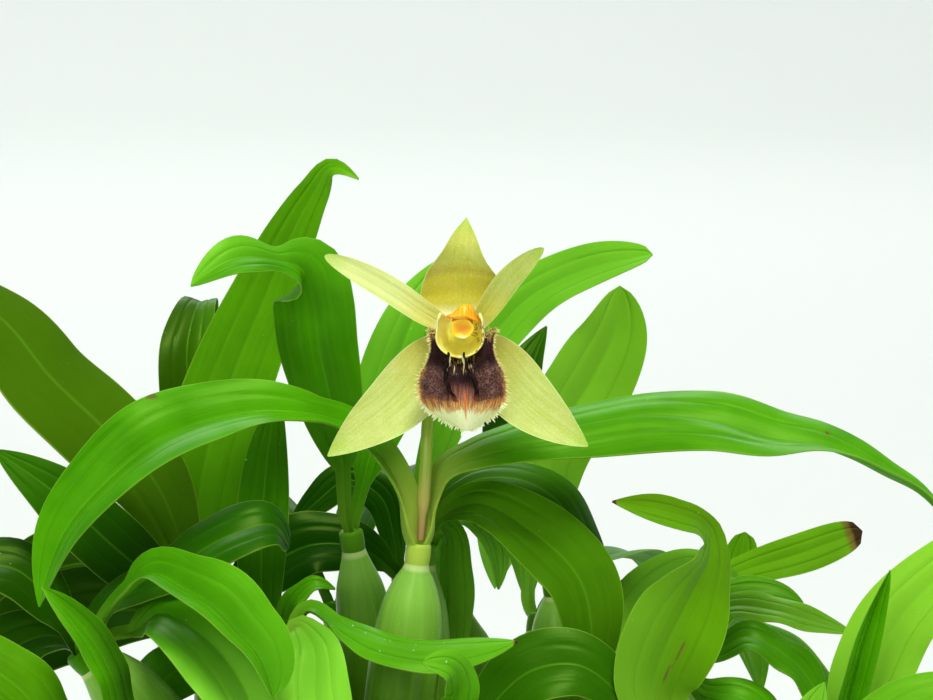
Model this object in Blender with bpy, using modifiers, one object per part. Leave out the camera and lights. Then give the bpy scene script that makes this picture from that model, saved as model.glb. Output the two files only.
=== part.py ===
"""A potted coelogyne orchid in flower, standing in a plain glazed vase.

Lengths below are millimetres, and the meshes are made in metres. The origin is the middle of the
vase's flat underside, +Z is up and the flower faces -Y. The plant's own places are measured from
the crown, which is the middle of the growing medium's surface.
"""
import math

import bmesh
import bpy
import numpy as np
from mathutils import Matrix, Vector

MM = 0.001
GAP = 0.3

VASE_HEIGHT = 128
VASE_MOUTH_RADIUS = 60
VASE_BELLY_RADIUS = 68
VASE_BELLY_HEIGHT = 0.62 * VASE_HEIGHT
VASE_FOOT_RADIUS = 42
VASE_WALL = 4.5
VASE_FLOOR = 7
TURNED_STEPS = 24

CROWN = Vector((0, 0, VASE_HEIGHT + 4))
MEDIUM_EDGE_DROP = 6
BULB_STEPS = 8
BULB_TOP_RADIUS = 2.2

# A pseudobulb's outline from its neck down: (share of its length, share of its radius). Its neck's
# radius is BULB_TOP_RADIUS.
BULB_OUTLINE = [(0.93, 0.55), (0.84, 0.78), (0.7, 0.94), (0.48, 1.0), (0.25, 0.96), (0.1, 0.8), (0, 0.55)]

# The plain hole that a pseudobulb stands in: its radius and its depth.
HOLE_RADIUS_SHARE = 0.98
HOLE_REACH = 30

BLADE_THICK = 0.7
STATION_SPACING = 11
ROOT_DEPTH = 1.2
STALK_FOLD = 48
TIP_WIDTH = 1.0

# Where the tepals, the lip and the column meet, and the knob at the ovary's end that carries them.
FLOWER_CENTRE = (-0.8, -18, 84)
KNOB_RADIUS = 2.2
KNOB_LENGTH = 4.2
TEPAL_STATIONS = 11
PETAL_FORWARD = 2.2


def leaf(route, width, faces, fold=20, stalk=0.12, swell=0.9, taper=0.95, stalk_width=3.2, pinch=None):
    """One leaf: its midrib's points, its full width, and the ways its upper side faces from base to tip.

    fold is how far each half rises from flat in degrees, stalk is the stalk's share of the length,
    and pinch is where, how much and over what share the blade is drawn in.
    """
    return dict(route=route, width=width, faces=faces, fold=fold, stalk=stalk, swell=swell,
                taper=taper, stalk_width=stalk_width, pinch=pinch)


def growth(base, neck, thick, leaves):
    """One pseudobulb, from its base in the medium to its neck, with the leaves that it bears."""
    return dict(base=base, neck=neck, thick=thick, leaves=leaves)


# The growths, front middle first, then the left side, the right side and the back.
GROWTHS = {
    "01": growth((-14, -13, -1), (-9, -15, 41), 13, [
        leaf([(-10.6, -15, 46), (-11.6, -14.5, 53), (-14.3, -14, 59), (-20.5, -13, 65.5), (-33, -16, 69),
              (-46, -20, 68), (-55, -25, 65), (-63, -28, 59), (-71, -30, 50), (-76, -30, 36)],
             width=17, faces=[(0.6, -0.8, 0.2), (0.3, -0.7, 0.6), (0, -0.6, 0.8), (-0.1, -0.65, 0.75),
                    (-0.5, -0.7, 0.5), (-0.6, -0.7, 0.2)],
             fold=22, stalk=0.33, swell=0.85, stalk_width=6.6),
        leaf([(-6.9, -15, 46), (-6.4, -14.5, 52), (-4.4, -13, 57.5), (1, -11, 61), (8, -9.5, 63),
              (20, -8, 65), (33, -8, 67), (45, -9, 66), (56, -10, 63), (64, -11, 62), (70, -12, 60), (76, -13, 57), (82, -14, 54),
              (87, -15, 49), (91, -16, 43)],
             width=15.5, faces=[(-0.7, -0.7, 0.3), (-0.4, -0.6, 0.6), (-0.1, -0.6, 0.8), (0, -0.62, 0.79),
                    (0, -0.62, 0.79), (0, -0.5, 0.86), (0.1, -0.2, 0.95), (0.45, 0, 0.9), (0.6, 0.1, 0.8)],
             fold=[-16, -16, -16, -10, 16, 20, 18], stalk=0.12, taper=1, stalk_width=4)]),
    "02": growth((-15, 8, -1), (-21, 3, 40), 11, [
        leaf([(-22, 3, 44), (-23, 2, 57), (-25, -1, 69), (-27, -3, 79), (-28, -5, 88), (-29.5, -8, 93.5),
              (-34, -13, 96), (-41, -18, 97), (-49, -22, 92.5)],
             width=15.5, faces=[(0, -1, 0.1), (-0.1, -1, 0.1), (-0.1, -1, 0.2), (0, -0.8, 0.6),
                    (-0.1, -0.8, 0.6)],
             fold=14, stalk=0.18, swell=0.7, taper=0.8, pinch=(0.77, 0.55, 0.07)),
        leaf([(-21, 4, 44), (-19, 6, 53), (-14, 11, 71), (-9, 14, 84), (-3, 15, 94)],
             width=14, faces=[(-0.2, -1, 0.1), (0.1, -1, 0.2), (0.2, -1, 0.3)],
             fold=22, stalk=0.2)]),
    "03": growth((-37, 21, -6), (-48, 20, 17), 12, [
        leaf([(-49, 20, 20), (-52, 20, 35), (-51, 19, 45), (-49, 18, 56), (-45, 17, 68), (-38, 16, 85),
              (-32.5, 15, 98), (-28.5, 14, 105.5), (-25, 12, 110.5), (-20, 10, 108.5)],
             width=17.5, faces=[(0, -1, 0.1), (0, -1, 0.15), (0, -1, 0.3), (0.1, -0.9, 0.4)],
             fold=12, stalk=0.06, swell=0.5),
        leaf([(-49, 22, 20), (-52, 30, 33), (-53, 36, 57), (-54, 38, 74), (-52, 46, 81), (-50, 54, 74)],
             width=12, faces=[(0, -1, 0.2), (0, -0.9, 0.4), (0, 0.1, 1)],
             fold=15, stalk=0.15),
        leaf([(-50, 21, 20), (-58, 24, 28), (-70, 25, 33), (-84, 24, 30), (-95, 22, 20)],
             width=17, faces=[(-0.2, -0.8, 0.6), (0, -0.8, 0.6), (-0.3, -0.8, 0.5)],
             fold=8, stalk=0.12)]),
    "04": growth((-44, 8, -6), (-46, 5, 21), 12, [
        leaf([(-47, 5, 24), (-52, 4, 38), (-58, 0, 54), (-68, -2, 65), (-76, -3, 73), (-85, -3, 84),
              (-94, -4, 90), (-103, -6, 90)],
             width=19, faces=[(0.3, -1, 0.4), (0.2, -0.9, 0.5), (0.1, -0.75, 0.75), (-0.2, -0.6, 0.8)],
             fold=-10, stalk=0.14),
        leaf([(-48, 4, 24), (-55, -3, 33), (-65, -8, 43), (-75, -10, 53), (-86, -10, 61)],
             width=13, faces=[(0.2, -1, 0.3), (0.1, -0.9, 0.5), (0, -0.9, 0.5)],
             fold=5, stalk=0.15),
        leaf([(-48, 6, 24), (-58, 8, 27), (-72, 10, 26), (-86, 10, 20), (-97, 10, 9)],
             width=20, faces=[(-0.2, -0.8, 0.6), (-0.1, -0.8, 0.6), (-0.4, -0.8, 0.5)],
             fold=8, stalk=0.12)]),
    "05": growth((-43, -20, -5), (-65, -24, 26), 12, [
        leaf([(-66, -25, 29), (-62, -27, 37), (-55, -30, 42), (-50, -33, 40), (-44, -36, 37),
              (-40, -38, 33), (-37, -39, 30), (-35, -40, 26), (-34, -40, 22)],
             width=16, faces=[(-0.6, -0.6, 0.5), (-0.3, -0.5, 0.8), (0.2, -0.7, 0.7), (0.4, -0.7, 0.6),
                    (0.6, -0.6, 0.4)],
             fold=40, stalk=0.28, swell=0.8, taper=0.6),
        leaf([(-64, -24, 29), (-60, -23, 30), (-55, -26, 34), (-47, -31, 31), (-41, -34, 25),
              (-37, -37, 16), (-35, -38, 4)],
             width=19, faces=[(-0.3, -0.6, 0.7), (0, -0.6, 0.8), (0.3, -0.8, 0.6), (0.4, -0.9, 0.3)],
             fold=12, stalk=0.12)]),
    "06": growth((-35, -31, -5), (-57, -35, 9), 11, [
        leaf([(-58, -35, 12), (-61, -34, 18), (-63, -37, 26), (-67, -40, 34), (-74, -42, 42)],
             width=7.5, faces=[(0.4, -1, 0.3), (0.5, -0.8, 0.4), (0.5, -0.8, 0.4)],
             fold=10, stalk=0.12),
        leaf([(-59, -35, 11), (-72, -36, 15), (-80, -38, 24), (-89, -38, 29), (-99, -38, 27)],
             width=14, faces=[(0.3, -0.8, 0.6), (0, -0.7, 0.8), (-0.3, -0.6, 0.8)],
             fold=5, stalk=0.15)]),
    "07": growth((-28, -16, -6), (-32, -18, 24), 12, [
        leaf([(-32, -19, 27), (-31, -19, 30), (-28, -23, 28), (-27, -28, 20), (-26, -31, 10),
              (-27, -32, -1)],
             width=13, faces=[(0, -0.6, 0.8), (0, -0.8, 0.6), (0.1, -1, 0.2)],
             fold=12, stalk=0.12),
        leaf([(-32, -17, 27), (-29, -17, 33), (-21, -22, 30), (-12, -27, 28), (-2, -29, 28),
              (9, -31, 30)],
             width=10, faces=[(0.3, -0.6, 0.8), (0, -0.4, 0.9), (0, -0.6, 0.8)],
             fold=-15, stalk=0.3)]),
    "08": growth((-46, -6, -5), (-69, -12, 21), 11, [
        leaf([(-70, -13, 24), (-66, -16, 33), (-57, -20, 39), (-52, -21, 41), (-47, -22, 45),
              (-41, -22, 48), (-35, -20, 49), (-32, -16, 44)],
             width=13, faces=[(-0.4, -0.8, 0.5), (-0.1, -0.6, 0.8), (0, -0.56, 0.83), (0.3, -0.6, 0.7)],
             fold=4, stalk=0.14, taper=0.6),
        leaf([(-71, -12, 24), (-75, -10, 31), (-83, -10, 39), (-92, -12, 39), (-100, -14, 29)],
             width=13, faces=[(0.2, -0.9, 0.4), (0, -0.7, 0.8), (-0.5, -0.5, 0.7)],
             fold=5, stalk=0.15),
        leaf([(-71, -10.5, 24), (-76, -8, 26), (-84, -6, 23), (-92, -6, 15), (-97, -6, 4)],
             width=15, faces=[(-0.2, -0.8, 0.6), (-0.1, -0.8, 0.6), (-0.4, -0.8, 0.5)],
             fold=8, stalk=0.12)]),
    "09": growth((-8, -33, -6), (-6, -36, 9), 8, [
        leaf([(-6, -36, 12), (-3.2, -38, 17), (-1.2, -41, 24), (-2.8, -44, 28.2), (-7.6, -46, 29.4)],
             width=7, faces=[(0.2, -1, 0.2), (0.3, -0.9, 0.3), (0, -0.8, 0.6)],
             fold=12, stalk=0.1, taper=0.7),
        leaf([(-7, -37, 11), (-12, -40, 16), (-18, -44, 14), (-24, -46, 5)],
             width=8, faces=[(-0.2, -0.9, 0.4), (-0.2, -0.6, 0.8), (-0.5, -0.7, 0.4)],
             fold=20, stalk=0.12)]),
    "10": growth((-9, -2, -5), (-8, -1, 38), 11, [
        leaf([(-8, 0, 41), (-5, 1, 49), (1, 2, 53), (10, 4, 53), (17, 3, 49), (21, 2, 42), (23, 1, 34),
              (23, -1, 24)],
             width=13, faces=[(-0.5, -0.8, 0.4), (0, -0.6, 0.8), (0.3, -0.6, 0.8), (0.5, -0.8, 0.3)],
             fold=-8, stalk=0.16),
        leaf([(-8, -2, 41), (-5, -3, 47), (1, -4, 50), (12, -6, 45), (21, -8, 36), (23, -10, 26),
              (22, -11, 15)],
             width=15, faces=[(-0.4, -0.8, 0.4), (0.2, -0.8, 0.6), (0.3, -0.9, 0.4), (0.3, -1, 0.1)],
             fold=10, stalk=0.16),
        leaf([(-7, 0, 41), (-5, 1.2, 45), (-3.2, 2.8, 43.5), (-2.2, 4.3, 35), (-2, 5, 26), (-2, 6, 15)],
             width=7, faces=[(0, -1, 0.4), (0.3, -0.9, 0.5), (0.3, -1, 0.1), (0.2, -1, 0)],
             fold=10, stalk=0.12)]),
    "11": growth((5, 15, -6), (-1, 15, 25), 11, [
        leaf([(-2, 14, 31), (-4, 11, 35), (-5, 9, 43), (-1, 8, 46), (4, 7, 43), (6, 6, 37), (6, 5, 32)],
             width=7, faces=[(-0.2, -1, 0.3), (0, -0.7, 0.7), (0.5, -0.7, 0.5)],
             fold=15, stalk=0.16),
        leaf([(-2, 16, 31), (-3, 16, 30), (-4, 15, 36), (-4, 14, 44)],
             width=7.5, faces=[(0, -1, 0.3), (0.2, -0.8, 0.6), (0.3, -1, 0.1)],
             fold=15, stalk=0.16)]),
    "12": growth((20, 27, -6), (17, 25, 27), 12, [
        leaf([(17, 25, 30), (16, 25, 41), (17, 25, 56), (24, 25, 69), (28, 24, 78), (29, 22, 87)],
             width=17, faces=[(-0.2, -1, 0.2), (0, -1, 0.2), (0.1, -1, 0.2)],
             fold=14, stalk=0.14, taper=0.65),
        leaf([(16, 26, 30), (12, 34, 42), (9, 48, 55), (11, 57, 65), (16, 62, 74)],
             width=12, faces=[(0, -1, 0.5), (0, -0.7, 0.8), (0, -0.7, 0.8)],
             fold=10, stalk=0.14)]),
    "13": growth((-8, 36, -6), (-12, 33, 26), 12, [
        leaf([(-11, 34, 29), (-7, 37, 49), (2, 40, 70), (12, 42, 82), (24, 42, 88), (36, 40, 91)],
             width=11.5, faces=[(-0.3, -1, 0.2), (-0.1, -0.9, 0.4), (0, -0.7, 0.7)],
             fold=16, stalk=0.14, taper=0.5),
        leaf([(-13, 34, 29), (-14, 36, 35), (-17, 38, 44), (-23, 38, 47), (-29, 37, 43), (-35, 36, 37)],
             width=8, faces=[(0.1, -1, 0.3), (0, -0.8, 0.5), (-0.2, -0.8, 0.5)],
             fold=10, stalk=0.14),
        leaf([(-13, 31, 29), (-20, 29, 35), (-30, 28, 36), (-40, 27, 30), (-47, 27, 21)],
             width=14, faces=[(-0.1, -0.9, 0.5), (0, -0.8, 0.6), (-0.4, -0.8, 0.5)],
             fold=10, stalk=0.14)]),
    "14": growth((18, -16, -6), (31, -18, 8), 11, [
        leaf([(32, -18, 11), (33, -18, 10), (34, -18, 20), (37, -18, 28), (41, -17, 36), (44, -17, 43),
              (44, -17, 46), (42, -19, 49), (38, -22, 51), (32, -25, 53), (26, -27, 54.5)],
             width=19, faces=[(0.1, -1, 0.2), (0.1, -1, 0.2), (0.3, -1, 0.2), (0.8, -0.8, 0.3),
                    (0.3, -0.7, 0.7), (0.1, -0.8, 0.6)],
             fold=10, stalk=0.1, swell=0.55, taper=1.0, pinch=(0.68, 0.6, 0.16)),
        leaf([(31, -17, 11), (29, -8, 14), (29, 3, 23), (34, 7, 31), (42, 8, 36), (51, 8, 34)],
             width=11, faces=[(0, -1, 0.2), (0, -0.8, 0.6), (0.1, -0.7, 0.8)],
             fold=8, stalk=0.14),
        leaf([(30, -18.5, 11), (27, -19, 18), (20, -19, 23), (12, -19, 22), (5, -19, 16), (0, -19, 8)],
             width=14, faces=[(0.3, -0.8, 0.5), (0, -0.8, 0.6), (-0.4, -0.8, 0.5)],
             fold=8, stalk=0.12)]),
    "15": growth((33, 28, -6), (37, 30, 17), 11, [
        leaf([(38, 30, 20), (41, 30, 24), (52, 30, 30), (64, 29, 34), (76, 27, 39)],
             width=8, faces=[(-0.2, -0.8, 0.6), (-0.1, -0.9, 0.5), (-0.1, -1, 0.4)],
             fold=5, stalk=0.14, swell=1, taper=0.4),
        leaf([(38, 31, 20), (47, 38, 19), (53, 44, 27), (55, 47, 35)],
             width=8, faces=[(0, -0.8, 0.4), (0, -0.9, 0.4), (0, -0.9, 0.4)],
             fold=10, stalk=0.14, taper=0.5)]),
    "16": growth((33, 11, -6), (42, 11, 18), 11, [
        leaf([(43, 10, 21), (49, 8, 28), (57, 6, 28), (65, 5, 26), (72, 4, 24)],
             width=7, faces=[(-0.3, -0.8, 0.6), (0.1, -0.6, 0.8), (0.2, -0.7, 0.7)],
             fold=5, stalk=0.14),
        leaf([(43, 12, 21), (48, 16, 28), (53, 18, 29), (59, 18, 29), (64, 17, 27)],
             width=7, faces=[(-0.3, -0.8, 0.6), (0.1, -0.6, 0.8), (0.6, -0.6, 0.5)],
             fold=5, stalk=0.14)]),
    "17": growth((32, -4, -6), (39, -2, 15), 11, [
        leaf([(40, -2, 18), (47, -2, 22), (52, -4, 25), (57, -5, 23), (62, -6, 19), (65, -8, 14),
              (68, -9, 6)],
             width=8, faces=[(-0.3, -0.8, 0.6), (0.2, -0.6, 0.8), (0.6, -0.7, 0.3)],
             fold=5, stalk=0.14),
        leaf([(40, -3, 17), (44, -5, 15), (51, -7, 14), (56, -8, 9), (61, -8, 1)],
             width=9, faces=[(-0.3, -0.8, 0.6), (0.2, -0.7, 0.7), (0.5, -0.8, 0.3)],
             fold=5, stalk=0.14)]),
    "18": growth((40, -15, -6), (53, -18, 6), 11, [
        leaf([(55, -18, 8), (69, -20, 9), (73, -22, 22), (77, -22, 31), (84, -22, 39), (93, -22, 46),
              (104, -22, 47)],
             width=15, faces=[(-0.2, -0.6, 0.8), (-0.3, -1, 0.2), (-0.2, -1, 0.3), (0, -0.8, 0.6),
                    (0.1, -0.6, 0.8)],
             fold=8, stalk=0.16, swell=0.6),
        leaf([(55, -19, 8), (66, -26, 10), (69, -29, 21), (71, -30, 30), (73, -31, 37), (75, -32, 43)],
             width=8, faces=[(-0.2, -0.6, 0.8), (0, -1, 0.1), (0.2, -1, 0.1)],
             fold=50, stalk=0.2)]),
    "19": growth((36, -30, -6), (47, -34, 5), 9, [
        leaf([(49, -35, 7), (58, -36, 12), (61, -37, 19), (63, -38, 24)],
             width=7, faces=[(-0.3, -0.8, 0.6), (0, -0.9, 0.5), (0, -0.8, 0.6)],
             fold=10, stalk=0.2),
        leaf([(49, -36, 6), (62, -40, 7), (74, -40, 17), (84, -40, 22), (96, -40, 21)],
             width=13, faces=[(-0.2, -0.5, 0.8), (-0.3, -0.8, 0.6), (0, -0.7, 0.7), (0.3, -0.6, 0.7)],
             fold=5, stalk=0.2)]),
    "20": growth((-31, -2, -6), (-36, -4, 15), 11, [
        leaf([(-36, -5, 18), (-33, -6, 26), (-31, -9, 33), (-28, -10, 36), (-24, -9, 35)],
             width=6, faces=[(0, -0.9, 0.4), (0.1, -0.5, 0.8), (0.3, -0.5, 0.8)],
             fold=15, stalk=0.12),
        leaf([(-36, -3, 18), (-38, 2, 31), (-38, 5, 45), (-37, 7, 58), (-35, 8, 69)],
             width=10, faces=[(0, -1, 0.2), (0, -1, 0.2), (0, -1, 0.1)],
             fold=12, stalk=0.14),
        leaf([(-38, -4, 18), (-45, -4, 21), (-53, -2.5, 18.5), (-60, 0, 13), (-64, 1.5, 5)],
             width=11, faces=[(-0.2, -0.9, 0.4), (-0.2, -0.95, 0.25), (-0.5, -0.8, 0.3)],
             fold=8, stalk=0.14)]),
    "21": growth((-20, 38, -6), (-26, 43, 18), 11, [
        leaf([(-27, 44, 21), (-34, 54, 32), (-44, 67, 38), (-54, 80, 34), (-60, 90, 22)],
             width=14, faces=[(0, 0.5, 0.8), (-0.3, 0.3, 1), (-0.5, 0.5, 0.8)],
             fold=12, stalk=0.14),
        leaf([(-25, 45, 21), (-22, 56, 34), (-16, 70, 42), (-10, 85, 40), (-6, 98, 28)],
             width=15, faces=[(0, 0.5, 0.8), (0, 0.3, 1), (0.1, 0.8, 0.6)],
             fold=12, stalk=0.14)]),
    "22": growth((11, 43, -6), (14, 50, 14), 11, [
        leaf([(15, 52, 17), (22, 62, 24), (32, 75, 25), (42, 88, 17), (47, 97, 5)],
             width=14, faces=[(0.2, 0.4, 0.9), (0.2, 0.3, 1), (0.5, 0.7, 0.6)],
             fold=12, stalk=0.14),
        leaf([(13, 53, 17), (13, 64, 27), (11, 79, 31), (8, 94, 25), (6, 105, 12)],
             width=14, faces=[(-0.2, 0.4, 0.9), (-0.1, 0.3, 1), (-0.2, 0.9, 0.5)],
             fold=12, stalk=0.14)]),
    "23": growth((29, 40, -6), (37, 46, 10), 10, [
        leaf([(39, 47, 12), (49, 54, 16), (62, 60, 11), (72, 64, 0), (77, 66, -14)],
             width=12, faces=[(0, 0.2, 0.9), (0.2, 0.2, 0.9), (0.7, 0.5, 0.4)],
             fold=12, stalk=0.14),
        leaf([(38, 49, 12), (44, 60, 18), (51, 73, 16), (58, 85, 6), (62, 92, -8)],
             width=12, faces=[(-0.1, 0.2, 0.9), (0.2, 0.3, 0.9), (0.5, 0.8, 0.4)],
             fold=12, stalk=0.14)]),
    "24": growth((-33, 32.5, -5), (-45, 42, 12), 11, [
        leaf([(-47, 43, 15), (-60, 50, 24), (-75, 56, 26), (-90, 61, 18), (-99, 64, 4)],
             width=15, faces=[(0, -0.2, 0.9), (-0.2, 0.1, 0.9), (-0.7, 0.3, 0.5)],
             fold=12, stalk=0.14),
        leaf([(-47, 45, 14), (-56, 58, 21), (-66, 73, 21), (-76, 86, 11), (-82, 94, -3)],
             width=14, faces=[(0.1, 0.2, 0.9), (-0.2, 0.3, 0.9), (-0.5, 0.8, 0.4)],
             fold=12, stalk=0.14)]),
}

MAIN_GROWTH = "01"
MAIN_COLLAR = 9
COLLAR = 3.5

# Each tepal: the midline's points from the flower's centre, its full width, and its shape.
SEPALS = {
    "sepal_dorsal": dict(
        route=[(0, 0.4, 2.7), (0, 0.8, 6), (-0.2, -0.4, 11), (0.2, -1.2, 15.5), (0.8, 0.8, 20.2)],
        width=15, faces=[(0, -1, 0), (0, -1, -0.3), (0, -1, -0.4), (0, -1, 0.3)],
        cup=0.28, swell=0.36, taper=1.25, claw=2.0),
    "sepal_left": dict(
        route=[(-1.9, 0, -1.9), (-6, -0.4, -6.6), (-11.5, -1.6, -12.6), (-18, -3.2, -17.6), (-24, -5, -22)],
        width=11.5, faces=[(0, -1, 0.1), (-0.1, -1, 0.1), (0, -1, 0.2)],
        cup=0.16, swell=0.5, taper=0.92, claw=2.0),
    "sepal_right": dict(
        route=[(1.9, 0, -1.9), (6.5, -0.2, -7), (11.5, -0.6, -12.5), (17, -1, -17), (22.6, -1.5, -20.8)],
        width=11.5, faces=[(0.2, -1, 0.1), (0.3, -1, 0.1), (0.3, -1, 0.2)],
        cup=0.16, swell=0.5, taper=0.92, claw=2.0),
}
PETALS = {
    "petal_left": dict(
        route=[(-2.6, 0, 0.9), (-7, 0, 3.6), (-12, 0.5, 7), (-18, 1, 10.4), (-24.5, 1.5, 13.5)],
        width=4.7, faces=[(0, -1, 0.1), (0, -1, 0.2)],
        cup=0.14, swell=0.5, taper=0.6, claw=1.8),
    "petal_right": dict(
        route=[(2.6, 0, 1.0), (5.5, -0.6, 5.5), (8.3, -2, 9.6), (11.5, -3.6, 13), (14.4, -5, 15.6)],
        width=4.5, faces=[(0, -1, 0), (-0.3, -1, 0.1)],
        cup=0.14, swell=0.5, taper=0.65, claw=1.8),
}

# The lip's fringed plate: its half width at even steps from the top corners to the tip, its midline
# seen from the side as (forward, down) from the flower's centre, and how far its margin bends back.
LIP_HALF_WIDTHS = [6.0, 5.6, 5.6, 6.2, 7.3, 7.6, 7.4, 6.4, 4.4, 0.7]
LIP_MIDLINE = [(6.5, -0.7), (9, 3), (10, 8), (10, 13), (8.5, 17.8)]
LIP_ROWS = 15
LIP_TOOTH = 0.9
LIP_ACROSS = [-1, -0.62, -0.38, -0.28, -0.18, 0, 0.18, 0.28, 0.38, 0.62, 1]
LIP_MARGIN_BACK = 3.2
LIP_NOTCH = 3.6
KEEL_AT = 0.28
KEEL_HEIGHT = 0.8
KEEL_SPAN = (0.25, 0.75)

# The lip's side lobes round the column, a trough open above: sections of (forward, radius, rise).
# Each lobe stands up from the round floor by LOBE_HEIGHT radii and leans in by LOBE_LEAN radii.
THROAT_SECTIONS = [(3.3, 2.4, 0.2), (5.2, 3.2, 0.2), (7.5, 3.9, 0.3), (10, 4.0, 0.3)]
FLOOR_SHARE = 0.6
LOBE_HEIGHT = 1.0
LOBE_LEAN = 0.15
THROAT_POINTS = 9

COLUMN_ROUTE = [(0, 3.9, 0.6), (0, 5.2, 1.9), (0.1, 7.0, 2.6), (0.2, 9.2, 2.2)]
COLUMN_RADII = [1.3, 1.5, 2.2, 2.1]

STALK_ROUTE = [(-7.9, -16.4, 51.2), (-7.3, -15.6, 60), (-6.9, -13.6, 67.5), (-5.5, -11.2, 74),
               (-3, -11.5, 80), (-0.8, -17.5, 84)]
STALK_RADIUS = 1.2
STALK_STATIONS = 12


def clear_scene():
    for obj in list(bpy.data.objects):
        bpy.data.objects.remove(obj, do_unlink=True)


def new_collection(name):
    collection = bpy.data.collections.new(name)
    bpy.context.scene.collection.children.link(collection)
    return collection


def material(name, colour, roughness, coat=0.0):
    mat = bpy.data.materials.new(name)
    mat.use_nodes = True
    shader = mat.node_tree.nodes["Principled BSDF"]
    shader.inputs["Base Color"].default_value = (*colour, 1)
    shader.inputs["Roughness"].default_value = roughness
    shader.inputs["Coat Weight"].default_value = coat
    return mat


def mesh_object(name, verts, faces, mat, collection):
    """A smooth-shaded object from points in millimetres."""
    mesh = bpy.data.meshes.new(name)
    mesh.from_pydata([Vector(v) * MM for v in verts], [], faces)
    mesh.materials.append(mat)
    mesh.shade_smooth()
    obj = bpy.data.objects.new(name, mesh)
    collection.objects.link(obj)
    return obj


def applied(obj):
    """Replaces an object's mesh by what its modifiers make of it."""
    depsgraph = bpy.context.evaluated_depsgraph_get()
    mesh = bpy.data.meshes.new_from_object(obj.evaluated_get(depsgraph))
    obj.modifiers.clear()
    obj.data = mesh
    return obj


def from_crown(point):
    return Vector(point) + CROWN


def smooth_route(points, count):
    """Evenly spaced points on one smooth curve through the route's own points."""
    pts = np.array(points, float)
    steps = np.linalg.norm(np.diff(pts, axis=0), axis=1)
    knots = np.concatenate([[0.0], np.cumsum(steps)])
    slopes = np.gradient(pts, knots, axis=0)
    slopes[0] = 1.5 * (pts[1] - pts[0]) / steps[0] - 0.5 * slopes[1]
    slopes[-1] = 1.5 * (pts[-1] - pts[-2]) / steps[-1] - 0.5 * slopes[-2]
    fine = []
    for i, span in enumerate(steps):
        for t in np.linspace(0.0, 1.0, 24, endpoint=False):
            start = (2 * t**3 - 3 * t**2 + 1) * pts[i] + (t**3 - 2 * t**2 + t) * span * slopes[i]
            end = (3 * t**2 - 2 * t**3) * pts[i + 1] + (t**3 - t**2) * span * slopes[i + 1]
            fine.append(start + end)
    fine = np.array(fine + [pts[-1]])
    along = np.concatenate([[0.0], np.cumsum(np.linalg.norm(np.diff(fine, axis=0), axis=1))])
    even = np.linspace(0.0, along[-1], count)
    return np.stack([np.interp(even, along, fine[:, k]) for k in range(3)], axis=1)


def unit(vector):
    return vector / np.linalg.norm(vector)


def at_share(values, share):
    """A value, or a vector, read from an evenly spaced list at a share of its length."""
    values = np.atleast_1d(np.array(values, float))
    places = np.linspace(0, 1, len(values))
    if values.ndim == 1:
        return np.interp(share, places, values)
    return np.array([np.interp(share, places, values[:, k]) for k in range(values.shape[1])])


def blade_frames(route, faces, stations):
    """The midrib's points with the blade's side and upward directions at each."""
    mid = smooth_route(route, stations)
    tangents = np.gradient(mid, axis=0)
    frames = []
    for i in range(stations):
        along = unit(tangents[i])
        facing = at_share(faces, i / (stations - 1))
        up = unit(facing - np.dot(facing, along) * along)
        frames.append((mid[i], np.cross(along, up), up))
    return frames


def lance(share, swell, taper):
    """A lance-shaped outline: nothing at both ends and 1 where it is widest."""
    peak = (swell / (swell + taper)) ** swell * (taper / (swell + taper)) ** taper
    return share**swell * (1 - share) ** taper / peak


def leaf_rows(spec):
    """Rows of three points across a leaf's upper side: left edge, midrib, right edge."""
    length = sum(math.dist(a, b) for a, b in zip(spec["route"], spec["route"][1:]))
    stations = 5 + round(length / STATION_SPACING)
    rows = []
    for i, (mid, side, up) in enumerate(blade_frames(spec["route"], spec["faces"], stations)):
        u = i / (stations - 1)
        stalk = spec["stalk"]
        v = max(0.0, (u - stalk) / (1 - stalk))
        spread = lance(v, spec["swell"], spec["taper"])
        narrow = 0.5 * (spec["stalk_width"] * (1 - v) + TIP_WIDTH * v)
        half = narrow * (1 - spread) + 0.5 * spec["width"] * spread
        if spec["pinch"]:
            place, amount, reach = spec["pinch"]
            half *= 1 - amount * math.exp(-(((u - place) / reach) ** 2))
        near_base = max(0.0, 1 - u / max(stalk * 1.6, 0.05))
        fold = at_share(spec["fold"], u)
        angle = math.radians(fold + (STALK_FOLD - fold) * near_base)
        out, rise = half * math.cos(angle) * side, half * math.sin(angle) * up
        rows.append([mid - out + rise, mid, mid + out + rise])
    return rows


def tepal_rows(spec):
    """Rows of five points across a tepal's face, cupped towards the viewer."""
    rows = []
    for i, (mid, side, up) in enumerate(blade_frames(spec["route"], spec["faces"], TEPAL_STATIONS)):
        u = i / (TEPAL_STATIONS - 1)
        spread = lance(u, spec["swell"], spec["taper"])
        narrow = 0.5 * (spec["claw"] * (1 - u) + TIP_WIDTH * u)
        half = narrow * (1 - spread) + 0.5 * spec["width"] * spread
        depth = spec["cup"] * half
        rows.append([mid + half * w * side + depth * w * w * up for w in (-1, -0.5, 0, 0.5, 1)])
    return rows


def sheet_object(name, rows, thick, mat, collection, origin):
    """A thin closed blade: the rows' surface in triangles, thickened away from its upper side."""
    across = len(rows[0])
    verts = [Vector(p) + origin for row in rows for p in row]
    faces = []
    for i in range(len(rows) - 1):
        for j in range(across - 1):
            a, b = i * across + j, i * across + j + 1
            c, d = a + across, b + across
            faces += [(a, b, d), (a, d, c)]
    obj = mesh_object(name, verts, faces, mat, collection)
    solid = obj.modifiers.new("thickness", "SOLIDIFY")
    solid.thickness = thick * MM
    solid.offset = -1
    solid.use_even_offset = True
    return obj


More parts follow.
